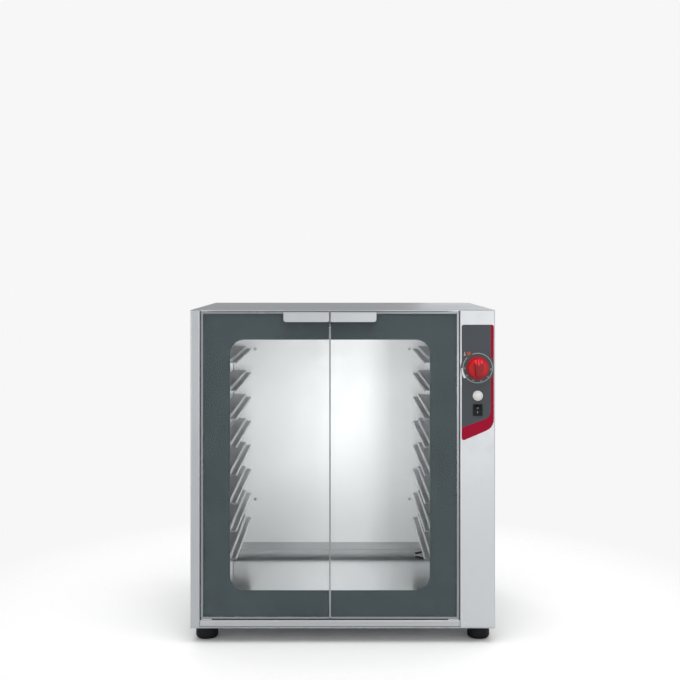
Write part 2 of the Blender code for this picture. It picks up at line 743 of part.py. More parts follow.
def build_liner():
    """The chamber's five sheets, each folded outwards where it meets the next."""
    sides = (("chamber_left_wall", CHAMBER_LEFT, -1), ("chamber_right_wall", CHAMBER_RIGHT, 1))
    walls = {}
    for name, x, outward in sides:
        path = [
            (x + outward * LINER_FLANGE, LINER_FRONT_Y),
            (x, LINER_FRONT_Y),
            (x, LINER_REAR_Y),
            (x + outward * LINER_FLANGE, LINER_REAR_Y),
        ]
        outline = folded(path, INNER_SHEET, -outward)
        low, high = CHAMBER_FLOOR + SEAT, CHAMBER_CEILING - SEAT
        walls[name] = extrude_piece(name, outline, "Z", low, high, "liner_steel")
    right = walls["chamber_right_wall"]
    span = (CHAMBER_RIGHT - OVERRUN, CHAMBER_RIGHT + INNER_SHEET + OVERRUN)
    for i, z in enumerate(heater_exits()):
        hole = circle((HEATER_Y, z), HEATER_RADIUS + SEAT, SMALL_SEGMENTS)
        cut(right, f"heater_cutter_{i}", prism(hole, "X", *span))
    probe_hole = circle((PROBE_Y, PROBE_WALL_Z), CAPILLARY_RADIUS + SEAT, PIN_SEGMENTS)
    cut(right, "probe_cutter", prism(probe_hole, "X", *span))

    ends = (CHAMBER_LEFT - INNER_SHEET, CHAMBER_RIGHT + INNER_SHEET)
    for name, z, outward in (("chamber_floor", CHAMBER_FLOOR, -1), ("chamber_ceiling", CHAMBER_CEILING, 1)):
        path = [
            (LINER_FRONT_Y, z + outward * LINER_FLANGE),
            (LINER_FRONT_Y, z),
            (LINER_REAR_Y, z),
            (LINER_REAR_Y, z + outward * LINER_FLANGE),
        ]
        outline = folded(path, INNER_SHEET, outward)
        extrude_piece(name, outline, "X", *ends, "liner_steel")
    build_back_wall()


def build_back_wall():
    """The chamber's rear sheet, with four welded studs that carry the baffle."""
    low = (CHAMBER_LEFT - LINER_FLANGE, CHAMBER_FLOOR - LINER_FLANGE)
    high = (CHAMBER_RIGHT + LINER_FLANGE, CHAMBER_CEILING + LINER_FLANGE)
    studs = []
    for x in (CHAMBER_LEFT + STUD_LEFT_INSET, CHAMBER_RIGHT - STUD_RIGHT_INSET):
        for z in (BAFFLE_BOTTOM + STUD_LOW_INSET, BAFFLE_TOP - STUD_HIGH_INSET):
            studs.append(circle((x, z), STUD_RADIUS, PIN_SEGMENTS))
    bm = bmesh.new()
    loops = filled(bm, rectangle(low, high), studs, "Y", BACK_WALL_Y)
    discs = [bm.faces.new(loop) for loop in loops]
    rest = [face for face in bm.faces if face not in discs]
    push(bm, discs + rest, Vector((0, INNER_SHEET, 0)))
    bmesh.ops.recalc_face_normals(bm, faces=bm.faces)
    front = BACK_WALL_Y + SEAT / 2
    discs = [f for f in bm.faces if f.calc_center_median().y < front and len(f.verts) == PIN_SEGMENTS]
    reach = BACK_WALL_Y - (BAFFLE_Y + INNER_SHEET + SEAT)
    push(bm, discs, Vector((0, -reach, 0)))
    make_object("chamber_back_wall", bm, "liner_steel")


def build_mouth():
    """The plate round the chamber's mouth, and the seal that the doors close on."""
    low = (OPENING_LEFT - MOUTH_LAP, SHELL_BOTTOM)
    high = (OPENING_RIGHT + MOUTH_LAP, SHELL_TOP)
    hole = rectangle((CHAMBER_LEFT, CHAMBER_FLOOR), (CHAMBER_RIGHT, CHAMBER_CEILING), MOUTH_RADIUS)
    outline = rectangle(low, high)
    extrude_piece("mouth_frame", outline, "Y", MOUTH_Y, MOUTH_Y + INNER_SHEET, "brushed_steel", [hole])

    middle = GASKET_MARGIN + GASKET_WIDTH / 2
    low = (CHAMBER_LEFT - middle, CHAMBER_FLOOR - middle)
    high = (CHAMBER_RIGHT + middle, CHAMBER_CEILING + middle)
    rear = MOUTH_Y - SEAT
    front = PRINT_Y + PRINT_THICKNESS + SEAT
    depth = rear - front
    base = GASKET_WIDTH / 2
    neck = GASKET_WIDTH * GASKET_NECK_SHARE
    tip = GASKET_WIDTH * GASKET_TIP_SHARE
    heights = [depth * share for share in GASKET_HEIGHT_SHARES]
    widths = (base, base, neck, neck, tip)
    left = [(-w, rear - h) for w, h in zip(widths, heights)]
    right = [(w, rear - h) for w, h in zip(widths, heights)]
    bm = swept(left + right[::-1], rectangle(low, high, GASKET_CORNER), closed=True)
    make_object("mouth_gasket", bm, "grey_rubber", smooth=True)


def build_baffle():
    """The panel in front of the warm air duct, open at the top and the bottom."""
    path = [
        (CHAMBER_LEFT + SEAT, LINER_REAR_Y),
        (CHAMBER_LEFT + SEAT, BAFFLE_Y),
        (CHAMBER_RIGHT - SEAT, BAFFLE_Y),
        (CHAMBER_RIGHT - SEAT, LINER_REAR_Y),
    ]
    outline = folded(path, INNER_SHEET, 1)
    baffle = extrude_piece("air_baffle", outline, "Z", BAFFLE_BOTTOM, BAFFLE_TOP, "liner_steel")
    inner = CHAMBER_RIGHT - SEAT - INNER_SHEET
    for i, z in enumerate(heater_exits()):
        hole = circle((HEATER_Y, z), HEATER_RADIUS + SEAT, SMALL_SEGMENTS)
        cut(baffle, f"baffle_cutter_{i}", prism(hole, "X", inner - OVERRUN, CHAMBER_RIGHT + OVERRUN))


def runner_piece(name, wall_x, inward, top):
    """One stepped runner: a flange on the wall, a wide shelf, a step down and a narrow ledge."""
    wall = wall_x + inward * SEAT
    step = wall_x + inward * RUNNER_SHELF
    edge = wall_x + inward * (RUNNER_SHELF + RUNNER_LEDGE)
    ledge = top - RUNNER_STEP
    path = [
        (wall, top - RUNNER_WALL_FLANGE),
        (wall, top),
        (step, top),
        (step, ledge),
        (edge, ledge),
        (edge, ledge - RUNNER_LIP),
    ]
    front = FRONT_Y + RUNNER_FRONT
    rear = BAFFLE_Y - RUNNER_END_GAP
    outline = folded(path, INNER_SHEET, -inward)
    runner = extrude_piece(name, outline, "Y", front, rear, "liner_steel")
    plan = [
        (wall - inward * OVERRUN, front),
        (edge, front),
        (edge, rear + OVERRUN),
        (wall - inward * OVERRUN, rear + OVERRUN),
    ]
    plan = rounded(plan, [0, RUNNER_NOSE_RADIUS, 0, 0])
    mould = prism(plan, "Z", top - RUNNER_WALL_FLANGE - OVERRUN, top + OVERRUN)
    combine(runner, cutter(f"{name}_mould", mould), "INTERSECT")


def build_runners():
    for level in range(RUNNER_LEVELS):
        top = RUNNER_FIRST_Z + level * RUNNER_SPACING
        runner_piece(f"runner_left_{level + 1}", CHAMBER_LEFT, 1, top)
        runner_piece(f"runner_right_{level + 1}", CHAMBER_RIGHT, -1, top)


def heater_route():
    """The heater's path: level passes joined by half turns, from one wall exit to the other."""
    heights = heater_heights()
    turn = HEATER_PASS_SPACING / 2
    left = CHAMBER_LEFT + HEATER_INSET + turn
    right = CHAMBER_RIGHT - HEATER_INSET - turn
    tail = CHAMBER_RIGHT + INNER_SHEET + FLANGE_THICKNESS + HEATER_TAIL
    points = [(tail, heights[0])]
    for i, z in enumerate(heights[:-1]):
        if i % 2 == 0:
            points += arc((left, z + turn), turn, -math.pi / 2, -math.pi * 3 / 2, HEATER_TURN_STEPS)
        else:
            points += arc((right, z + turn), turn, -math.pi / 2, math.pi / 2, HEATER_TURN_STEPS)
    points.append((tail, heights[-1]))
    return [(x, HEATER_Y, z) for x, z in points]


def build_heater():
    """The bent heater in the duct with its end plate outside the wall, and its channel bracket."""
    route = heater_route()
    bm = piped(route, [HEATER_RADIUS] * len(route), HEATER_SEGMENTS)
    heater = make_object("heating_element", bm, "heater_steel", smooth=True)
    low_z, high_z = heater_exits()
    margin = HEATER_RADIUS + BRACKET_MARGIN
    low = (HEATER_Y - FLANGE_HALF_WIDTH, low_z - margin)
    high = (HEATER_Y + FLANGE_HALF_WIDTH, high_z + margin)
    start = CHAMBER_RIGHT + INNER_SHEET + SEAT
    join(heater, "flange_joiner", prism(rectangle(low, high), "X", start, start + FLANGE_THICKNESS))

    front = BAFFLE_Y + INNER_SHEET + SEAT
    rear = BACK_WALL_Y - SEAT
    left, right = CHAMBER_LEFT + BRACKET_INSET, CHAMBER_RIGHT - BRACKET_INSET
    outline = folded([(left, front), (left, rear), (right, rear), (right, front)], INNER_SHEET, -1)
    ends = (low_z - margin, high_z + margin)
    bracket = extrude_piece("element_bracket", outline, "Z", *ends, "galvanised")
    for i, z in enumerate(heater_heights()):
        hole = circle((HEATER_Y, z), HEATER_RADIUS + SEAT, SMALL_SEGMENTS)
        drill = prism(hole, "X", left - OVERRUN, right + OVERRUN)
        cut(bracket, f"bracket_cutter_{i}", drill)


def build_thermostat():
    """The thermostat behind the column: its case, threaded bush and capillary bulb."""
    half = THERMOSTAT_SIZE / 2
    start = PANEL_REAR_Y + SEAT
    low = (CONTROL_X - half, KNOB_Z - half)
    high = (CONTROL_X + half, KNOB_Z + half)
    case = prism(rectangle(low, high, THERMOSTAT_CORNER), "Y", start, start + THERMOSTAT_DEPTH)
    body = make_object("thermostat_body", case, "black_plastic", smooth=True)
    nose = OVERLAY_FRONT_Y - BUSH_NOSE
    bush = circle((CONTROL_X, KNOB_Z), BUSH_RADIUS, SMALL_SEGMENTS)
    join(body, "bush_joiner", prism(bush, "Y", nose, start + OVERRUN))
    bore = circle((CONTROL_X, KNOB_Z), SPINDLE_RADIUS + SEAT, SMALL_SEGMENTS)
    bore_end = start + SPINDLE_INSIDE + SEAT
    cut(body, "bush_cutter", prism(bore, "Y", nose - OVERRUN, bore_end))

    build_probe(start + THERMOSTAT_DEPTH + SEAT)


def build_probe(case_rear):
    """The capillary from the thermostat's case through the wall to the bulb above the floor."""
    tip = Vector((CHAMBER_RIGHT - PROBE_REACH, PROBE_Y, PROBE_TIP_Z))
    bend = Vector((CHAMBER_RIGHT, PROBE_Y, PROBE_WALL_Z))
    way = (bend - tip).normalized()
    neck = tip + way * BULB_LENGTH
    shoulder = neck + way * BULB_RADIUS
    inside = bend.x - OVERRUN
    outside = bend.x + INNER_SHEET + OVERRUN
    drop_x = bend.x + PROBE_DROP
    points = [
        tip,
        neck,
        shoulder,
        (inside, PROBE_Y, PROBE_WALL_Z),
        (outside, PROBE_Y, PROBE_WALL_Z),
        (drop_x, PROBE_Y, PROBE_WALL_Z + PROBE_DROP),
        (drop_x, PROBE_Y, KNOB_Z - THERMOSTAT_SIZE * 2),
        (CONTROL_X, case_rear + THERMOSTAT_SIZE * 2, KNOB_Z - THERMOSTAT_SIZE),
        (CONTROL_X, case_rear + THERMOSTAT_SIZE, KNOB_Z),
        (CONTROL_X, case_rear, KNOB_Z),
    ]
    radii = [BULB_RADIUS] * 2 + [CAPILLARY_RADIUS] * (len(points) - 2)
    bm = piped(points, radii, PROBE_SEGMENTS)
    make_object("thermostat_probe", bm, "black_plastic", smooth=True)


def grip_bm(rear_y):
    """The knob's grip bar: wide at the pointer end, narrow at the tail, with softened edges."""
    length = KNOB_BODY_RADIUS * GRIP_LENGTH_SHARE
    corners = [
        (CONTROL_X - GRIP_BOTTOM_HALF, KNOB_Z - length),
        (CONTROL_X + GRIP_BOTTOM_HALF, KNOB_Z - length),
        (CONTROL_X + GRIP_TOP_HALF, KNOB_Z + length),
        (CONTROL_X - GRIP_TOP_HALF, KNOB_Z + length),
    ]
    outline = rounded(corners, [GRIP_BOTTOM_HALF / 2] * 2 + [GRIP_TOP_HALF / 2] * 2)
    front_y = rear_y - KNOB_HEIGHT
    grip = prism(outline, "Y", rear_y - HUB_DEPTH - GRIP_ROOF, front_y)
    front = [f for f in grip.faces if abs(f.calc_center_median().y - front_y) < SEAT]
    centre = Matrix.Translation((CONTROL_X, 0, KNOB_Z))
    shrink = Matrix.Diagonal((1 - GRIP_DRAFT / GRIP_BOTTOM_HALF, 1, 1 - GRIP_DRAFT / length, 1))
    top_verts = list({v for f in front for v in f.verts})
    bmesh.ops.transform(grip, matrix=centre @ shrink @ centre.inverted(), verts=top_verts)
    bmesh.ops.bevel(
        grip,
        geom=list({e for f in front for e in f.edges}),
        offset=GRIP_DRAFT,
        segments=GRIP_BEVEL_STEPS,
        affect="EDGES",
        profile=0.5,
        material=-1,
    )
    return grip


def build_knob():
    """The red knob: a hollow turned skirt, a grip bar with a pointer notch and a hub for the spindle."""
    rear_y = OVERLAY_FRONT_Y - KNOB_GAP
    bore = SPINDLE_RADIUS + SEAT
    profile = [
        (0, HUB_DEPTH),
        (bore, HUB_DEPTH),
        (bore, KNOB_GAP),
        (HUB_RADIUS, KNOB_GAP),
        (HUB_RADIUS, KNOB_CAVITY),
        (KNOB_RADIUS - KNOB_WALL, KNOB_CAVITY - KNOB_WALL / 2),
        (KNOB_RADIUS - KNOB_WALL, 0),
        (KNOB_RADIUS, 0),
        (KNOB_RADIUS, KNOB_SKIRT),
        ((KNOB_RADIUS + KNOB_BODY_RADIUS) / 2, KNOB_SKIRT + KNOB_WALL),
        (KNOB_BODY_RADIUS, KNOB_BODY_HEIGHT - KNOB_WALL / 2),
        (KNOB_BODY_RADIUS - KNOB_WALL, KNOB_BODY_HEIGHT),
        (0, KNOB_BODY_HEIGHT + KNOB_WALL / 4),
    ]
    place = (CONTROL_X, rear_y, KNOB_Z)
    bm = turned(profile, KNOB_SEGMENTS, place, (0, -1, 0))
    knob = make_object("temperature_knob", bm, "red_plastic", smooth=True, origin=place)
    join(knob, "grip_joiner", grip_bm(rear_y))
    high = KNOB_Z + KNOB_BODY_RADIUS
    notch = [
        (CONTROL_X - POINTER_HALF, high),
        (CONTROL_X, high - POINTER_LENGTH - POINTER_HALF),
        (CONTROL_X + POINTER_HALF, high),
    ]
    floor = rear_y - KNOB_HEIGHT + POINTER_DEPTH
    cut(knob, "pointer_cutter", prism(notch, "Y", floor - OVERRUN, floor))

    start = PANEL_REAR_Y + SEAT + SPINDLE_INSIDE
    end = rear_y - HUB_DEPTH + SEAT
    half_flat = math.acos(SPINDLE_FLAT / SPINDLE_RADIUS)
    first, last = math.pi / 2 + half_flat, math.pi / 2 + math.tau - half_flat
    outline = arc((CONTROL_X, KNOB_Z), SPINDLE_RADIUS, first, last, SMALL_SEGMENTS)
    bm = prism(outline, "Y", end, start)
    spindle = make_object("thermostat_spindle", bm, "heater_steel", smooth=True, origin=place)
    parent_to_axis("knob_axis", place, [knob, spindle])


def build_lamp():
    """The pilot lamp: a domed lens, a stem through the column and a nut behind it."""
    lens_rear = -SEAT
    panel = OVERLAY_STACK + OUTER_SHEET + SEAT
    profile = [(0, -LAMP_RIM - LAMP_DOME)]
    for radius, height in arc((0, 0), 1, math.pi / 2, 0, ROUND_STEPS)[1:]:
        profile.append((LAMP_RADIUS * radius, -LAMP_RIM - LAMP_DOME * height))
    profile += [
        (LAMP_RADIUS, lens_rear),
        (LAMP_STEM_RADIUS, lens_rear),
        (LAMP_STEM_RADIUS, panel),
        (LAMP_NUT_RADIUS, panel),
        (LAMP_NUT_RADIUS, panel + LAMP_NUT),
        (LAMP_STEM_RADIUS, panel + LAMP_NUT),
        (LAMP_STEM_RADIUS, LAMP_BODY_DEPTH),
        (0, LAMP_BODY_DEPTH),
    ]
    place = (CONTROL_X, OVERLAY_FRONT_Y, LAMP_Z)
    bm = turned(profile, LAMP_SEGMENTS, place, (0, 1, 0))
    make_object("pilot_lamp", bm, "white_plastic", smooth=True)


def build_switch():
    """The power switch: a bezel and case with a pocket, and the rocker on its trunnions."""
    low = (CONTROL_X - SWITCH_WIDTH / 2, SWITCH_Z - SWITCH_HEIGHT / 2)
    high = (CONTROL_X + SWITCH_WIDTH / 2, SWITCH_Z + SWITCH_HEIGHT / 2)
    bezel_rear = OVERLAY_FRONT_Y - SEAT
    outline = rectangle(low, high, SWITCH_BEZEL_CORNER)
    bezel = prism(outline, "Y", bezel_rear - SWITCH_BEZEL, bezel_rear)
    housing = make_object("switch_housing", bezel, "black_plastic")
    half_width = SWITCH_BODY_WIDTH / 2
    half_height = SWITCH_BODY_HEIGHT / 2
    low = (CONTROL_X - half_width, SWITCH_Z - half_height)
    high = (CONTROL_X + half_width, SWITCH_Z + half_height)
    case = prism(rectangle(low, high), "Y", bezel_rear - SWITCH_BEZEL / 2, FRONT_Y + SWITCH_BODY_DEPTH)
    join(housing, "case_joiner", case)
    inner_width = half_width - SWITCH_WALL
    inner_height = half_height - SWITCH_WALL
    low = (CONTROL_X - inner_width, SWITCH_Z - inner_height)
    high = (CONTROL_X + inner_width, SWITCH_Z + inner_height)
    front = bezel_rear - SWITCH_BEZEL
    pocket = prism(rectangle(low, high), "Y", front - OVERRUN, FRONT_Y + SWITCH_POCKET_DEPTH)
    cut(housing, "pocket_cutter", pocket)
    hole = circle((ROCKER_Y, SWITCH_Z), ROCKER_TRUNNION + SEAT, PIN_SEGMENTS)
    reach = half_width - SWITCH_WALL / 3
    trunnion_hole = prism(hole, "X", CONTROL_X - reach, CONTROL_X + reach)
    cut(housing, "trunnion_cutter", trunnion_hole)

    half_rocker = inner_width - SEAT
    outline = [
        (-ROCKER_VALLEY, 0),
        (-ROCKER_TIP, ROCKER_HALF_HEIGHT),
        (-ROCKER_HIP, ROCKER_HALF_HEIGHT),
        (ROCKER_KEEL, ROCKER_KEEL_HALF),
        (ROCKER_KEEL, -ROCKER_KEEL_HALF),
        (-ROCKER_HIP, -ROCKER_HALF_HEIGHT),
        (-ROCKER_TIP, -ROCKER_HALF_HEIGHT),
    ]
    place = (CONTROL_X, ROCKER_Y, SWITCH_Z)
    body = prism(outline, "X", -half_rocker, half_rocker)
    trunnion = reach - SEAT
    pins = prism(circle((0, 0), ROCKER_TRUNNION, PIN_SEGMENTS), "X", -trunnion, trunnion)
    tilt = Matrix.Rotation(math.radians(ROCKER_TILT_DEG), 4, "X")
    for bm in (body, pins):
        bmesh.ops.transform(bm, matrix=Matrix.Translation(place) @ tilt, verts=bm.verts)
    rocker = make_object("switch_rocker", body, "black_plastic", origin=place)
    join(rocker, "pin_joiner", pins)


def build_terminals():
    """The terminal block on the floor of the control compartment."""
    rib_pitch = (TERMINAL_LENGTH - TERMINAL_RIB) / TERMINAL_WAYS
    left = CONTROL_X - TERMINAL_LENGTH / 2
    bottom = FOOT_HEIGHT + BASE_RIM + SEAT
    top = bottom + TERMINAL_HEIGHT
    step = top - TERMINAL_STEP
    outline = [(left, bottom), (left + TERMINAL_LENGTH, bottom)]
    for i in range(TERMINAL_WAYS, -1, -1):
        rib = left + i * rib_pitch
        right_foot = (rib + TERMINAL_RIB, step)
        left_foot = (rib, step)
        inner = [(rib + TERMINAL_RIB, top), (rib, top)]
        if i < TERMINAL_WAYS:
            inner.insert(0, right_foot)
        if i > 0:
            inner.append(left_foot)
        outline += inner
    start = BACK_Y - TERMINAL_REAR_SPACE - TERMINAL_DEPTH
    extrude_piece("terminal_block", outline, "Y", start, start + TERMINAL_DEPTH, "white_plastic")


def build_gland():
    """The cable gland in the back panel: thread, hexagon, dome and inner locknut."""
    place = (GLAND_X, BACK_Y, GLAND_Z)
    inner_face = -OUTER_SHEET - SEAT
    profile = [
        (GLAND_BORE_RADIUS, -OUTER_SHEET - GLAND_INSIDE),
        (GLAND_THREAD_RADIUS, -OUTER_SHEET - GLAND_INSIDE),
        (GLAND_THREAD_RADIUS, SEAT + GLAND_HEX_DEPTH / 2),
        (GLAND_DOME_RADIUS, SEAT + GLAND_HEX_DEPTH / 2),
        (GLAND_DOME_RADIUS, REAR_REACH - GLAND_DOME_LENGTH / 2),
        (GLAND_DOME_TIP_RADIUS, REAR_REACH),
        (GLAND_BORE_RADIUS, REAR_REACH),
    ]
    bm = turned(profile, SMALL_SEGMENTS, place, (0, 1, 0))
    gland = make_object("cable_gland", bm, "black_plastic", smooth=True)
    corner_radius = GLAND_HEX_ACROSS / math.sqrt(3)
    hexagon = circle((GLAND_X, GLAND_Z), corner_radius, HEX_SIDES)
    bore = circle((GLAND_X, GLAND_Z), (GLAND_BORE_RADIUS + GLAND_THREAD_RADIUS) / 2, SMALL_SEGMENTS)
    outer = prism(hexagon, "Y", BACK_Y + SEAT, BACK_Y + SEAT + GLAND_HEX_DEPTH, [bore])
    join(gland, "hex_joiner", outer)
    rear = BACK_Y + inner_face
    join(gland, "locknut_joiner", prism(hexagon, "Y", rear - GLAND_LOCKNUT_DEPTH, rear, [bore]))


def build_feet():
    """Four rubber feet with a rounded lower edge and a short neck under the base tray."""
    top = FOOT_HEIGHT + BASE_RIM - OUTER_SHEET - SEAT
    neck_z = top - FOOT_NECK_HEIGHT
    bottom = arc((FOOT_RADIUS - FOOT_EDGE, FOOT_EDGE), FOOT_EDGE, -math.pi / 2, 0, ROUND_STEPS)
    profile = [(0, 0), *bottom, (FOOT_RADIUS, neck_z)]
    profile += [(FOOT_RADIUS - FOOT_NECK, neck_z + FOOT_NECK), (FOOT_RADIUS - FOOT_NECK, top), (0, top)]
    rows = (("front", FRONT_Y + FOOT_END_INSET), ("rear", BACK_Y - FOOT_END_INSET))
    for row, y in rows:
        for side, sign in (("left", -1), ("right", 1)):
            place = (sign * (SIDE_X - FOOT_SIDE_INSET), y, 0)
            bm = turned(profile, FOOT_SEGMENTS, place, (0, 0, 1))
            make_object(f"foot_{row}_{side}", bm, "black_rubber", smooth=True)


def build_pivot_plates():
    """Small plates above and below each door, each with the pin that the door swings on."""
    web = TRIM_WIDTH - PIN_END_GAP
    bottom_face = SILL_TOP + SEAT
    bottom_top = bottom_face + PLATE_THICKNESS
    top_face = OVERALL_HEIGHT - OUTER_SHEET - SEAT
    top_under = top_face - PLATE_THICKNESS
    collar = DOOR_BOTTOM - SEAT - bottom_top
    front = FRONT_Y + OUTER_SHEET + SEAT
    rear = MOUTH_Y - SEAT
    for side, x in (("left", LEFT_PIVOT_X), ("right", RIGHT_PIVOT_X)):
        low_x, high_x = x - PIVOT_INSET, x - PIVOT_INSET + PLATE_LENGTH
        if side == "right":
            low_x, high_x = x + PIVOT_INSET - PLATE_LENGTH, x + PIVOT_INSET
        place = (x, PIVOT_Y)
        outline = rectangle((low_x, FRONT_Y + SEAT), (high_x, rear), PLATE_CORNER)
        bm = prism(outline, "Z", bottom_face, bottom_top)
        plate = make_object(f"{side}_bottom_pivot", bm, "trim_metal")
        ring = circle(place, COLLAR_RADIUS, SMALL_SEGMENTS)
        pin = circle(place, PIN_RADIUS, PIN_SEGMENTS)
        root = bottom_top - PLATE_THICKNESS / 2
        join(plate, f"{side}_collar_joiner", prism(ring, "Z", root, bottom_top + collar))
        join(plate, f"{side}_bottom_pin_joiner", prism(pin, "Z", root, DOOR_BOTTOM + web))

        outline = rectangle((low_x, front), (high_x, rear), PLATE_CORNER)
        plate = extrude_piece(f"{side}_top_pivot", outline, "Z", top_under, top_face, "trim_metal")
        root = top_under + PLATE_THICKNESS / 2
        join(plate, f"{side}_top_pin_joiner", prism(pin, "Z", DOOR_TOP - web, root))


def glass_outline(outer, meeting):
    """The pane's outline, set inside the trim and open to the other door."""
    inset = TRIM_WIDTH + SEAT
    inward = 1 if meeting > outer else -1
    return (outer + inward * inset, DOOR_BOTTOM + inset), (meeting, DOOR_TOP - inset)


def print_outline(outer, meeting):
    """The printed border: three sides round the window, with its two outer corners rounded."""
    (edge, low), (_, high) = glass_outline(outer, meeting)
    inward = 1 if meeting > outer else -1
    window = outer + inward * BORDER_SIDE
    corners = [
        (meeting, low),
        (edge, low),
        (edge, high),
        (meeting, high),
        (meeting, DOOR_TOP - BORDER_END),
        (window, DOOR_TOP - BORDER_END),
        (window, DOOR_BOTTOM + BORDER_END),
        (meeting, DOOR_BOTTOM + BORDER_END),
    ]
    return rounded(corners, [0, 0, 0, 0, 0, WINDOW_RADIUS, WINDOW_RADIUS, 0])


def trim_piece(name, outer, meeting, pivot_x):
    """The angle trim on three edges of a pane, drilled for the door pins."""
    section = [
        (0, FRONT_Y),
        (TRIM_WIDTH, FRONT_Y),
        (TRIM_WIDTH, FRONT_Y + DOOR_THICKNESS - TRIM_LEG_THICKNESS),
        (TRIM_LEG_WIDTH, FRONT_Y + DOOR_THICKNESS - TRIM_LEG_THICKNESS),
        (TRIM_LEG_WIDTH, FRONT_Y + DOOR_THICKNESS),
        (0, FRONT_Y + DOOR_THICKNESS),
    ]
    path = [(meeting, DOOR_TOP), (outer, DOOR_TOP), (outer, DOOR_BOTTOM), (meeting, DOOR_BOTTOM)]
    if meeting < outer:
        path = path[::-1]
    trim = make_object(name, swept(section, path, closed=False), "trim_metal")
    hole = circle((pivot_x, PIVOT_Y), PIN_RADIUS + PIN_CLEARANCE, PIN_SEGMENTS)
    ends = (("bottom", DOOR_BOTTOM), ("top", DOOR_TOP - TRIM_WIDTH))
    for end, low in ends:
        drill = prism(hole, "Z", low - TRIM_WIDTH, low + TRIM_WIDTH * 2)
        cut(trim, f"{name}_{end}_cutter", drill)
    return trim


def handle_piece(name, meeting, inward):
    """A folded pull on the top edge of the glass, open below, with rounded lower corners."""
    low_x, high_x = sorted((meeting, meeting - inward * HANDLE_LENGTH))
    rear = FRONT_Y - SEAT
    front = FRONT_Y - HANDLE_REACH
    low = DOOR_TOP - HANDLE_HEIGHT
    path = [(rear, low), (rear, DOOR_TOP), (front, DOOR_TOP), (front, low)]
    outline = folded(path, HANDLE_SHEET, 1, HANDLE_FOLD, FOLD_STEPS + 1)
    handle = extrude_piece(name, outline, "X", low_x, high_x, "handle_steel")
    corners = [(low_x, low), (high_x, low), (high_x, DOOR_TOP + OVERRUN), (low_x, DOOR_TOP + OVERRUN)]
    radii = [HANDLE_OUTER_CORNER, HANDLE_MEETING_CORNER, 0, 0]
    if inward < 0:
        radii = [HANDLE_MEETING_CORNER, HANDLE_OUTER_CORNER, 0, 0]
    shape = rounded(corners, radii)
    mould = prism(shape, "Y", front - OVERRUN, rear + OVERRUN)
    combine(handle, cutter(f"{name}_mould", mould), "INTERSECT")
    return handle


def build_door(side, outer, meeting, pivot_x):
    """One door: the pane, its printed border, its trim and its pull, all on the pivot axis."""
    first, last = glass_outline(outer, meeting)
    low = (min(first[0], last[0]), first[1])
    high = (max(first[0], last[0]), last[1])
    rear = FRONT_Y + GLASS_THICKNESS
    glass = extrude_piece(f"{side}_glass", rectangle(low, high), "Y", FRONT_Y, rear, "glass")
    outline = print_outline(outer, meeting)
    end = PRINT_Y + PRINT_THICKNESS
    border = extrude_piece(f"{side}_border_print", outline, "Y", PRINT_Y, end, "border_print")
    trim = trim_piece(f"{side}_edge_trim", outer, meeting, pivot_x)
    inward = 1 if meeting > outer else -1
    handle = handle_piece(f"{side}_handle", meeting, inward)
    return [glass, border, trim, handle]


def build_meeting_seal():
    """The soft strip on the right pane's edge, with a nose towards the left pane."""
    right = RIGHT_MEETING - SEAT
    left = LEFT_MEETING + SEAT
    rear = FRONT_Y + GLASS_THICKNESS
    middle = (FRONT_Y + rear) / 2
    outline = [
        (right, FRONT_Y),
        (right, rear),
        (left + SEAL_NOSE, rear),
        (left, middle + SEAL_NOSE),
        (left, middle - SEAL_NOSE),
        (left + SEAL_NOSE, FRONT_Y),
    ]
    low = DOOR_BOTTOM + TRIM_WIDTH / 2
    return extrude_piece("meeting_seal", outline, "Z", low, DOOR_TOP - SEAL_TOP_DROP, "grey_rubber")


def build_doors():
    left = build_door("left", DOOR_LEFT, LEFT_MEETING, LEFT_PIVOT_X)
    right = build_door("right", DOOR_RIGHT, RIGHT_MEETING, RIGHT_PIVOT_X)
    right.append(build_meeting_seal())
    parent_to_axis("left_door_axis", (LEFT_PIVOT_X, PIVOT_Y, DOOR_BOTTOM), left)
    parent_to_axis("right_door_axis", (RIGHT_PIVOT_X, PIVOT_Y, DOOR_BOTTOM), right)


def main():
    clear_scene()
    build_base()
    build_side_panels()
    build_top_panel()
    build_back_panel()
    build_column()
    build_liner()
    build_mouth()
    build_baffle()
    build_runners()
    build_heater()
    build_thermostat()
    build_knob()
    build_lamp()
    build_switch()
    build_terminals()
    build_gland()
    build_feet()
    build_pivot_plates()
    build_doors()


main()
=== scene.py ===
"""Looks for a proofing cabinet: satin steel body, two glass doors, control film, rubber feet.

Metres, +Z up, front towards -Y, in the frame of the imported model. Every place is worked out from
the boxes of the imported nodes.
"""

import math

import bmesh
import bpy
from mathutils import Matrix, Vector


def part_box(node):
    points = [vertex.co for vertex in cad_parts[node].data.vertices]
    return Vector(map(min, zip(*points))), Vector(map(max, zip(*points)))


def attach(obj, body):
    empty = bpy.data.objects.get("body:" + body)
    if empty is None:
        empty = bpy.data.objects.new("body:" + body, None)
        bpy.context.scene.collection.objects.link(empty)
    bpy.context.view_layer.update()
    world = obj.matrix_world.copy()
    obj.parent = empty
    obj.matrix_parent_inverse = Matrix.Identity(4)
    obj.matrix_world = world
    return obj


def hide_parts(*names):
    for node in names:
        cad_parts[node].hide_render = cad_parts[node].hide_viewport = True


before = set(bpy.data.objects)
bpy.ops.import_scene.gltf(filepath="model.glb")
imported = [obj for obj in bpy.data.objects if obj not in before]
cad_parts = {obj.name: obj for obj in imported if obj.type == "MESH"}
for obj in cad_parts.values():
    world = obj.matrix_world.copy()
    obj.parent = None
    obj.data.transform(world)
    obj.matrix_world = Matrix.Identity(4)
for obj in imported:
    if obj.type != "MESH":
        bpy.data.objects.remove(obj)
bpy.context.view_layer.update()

MM = 0.001
SAME_SPOT = 0.001 * MM  # points nearer than this are merged

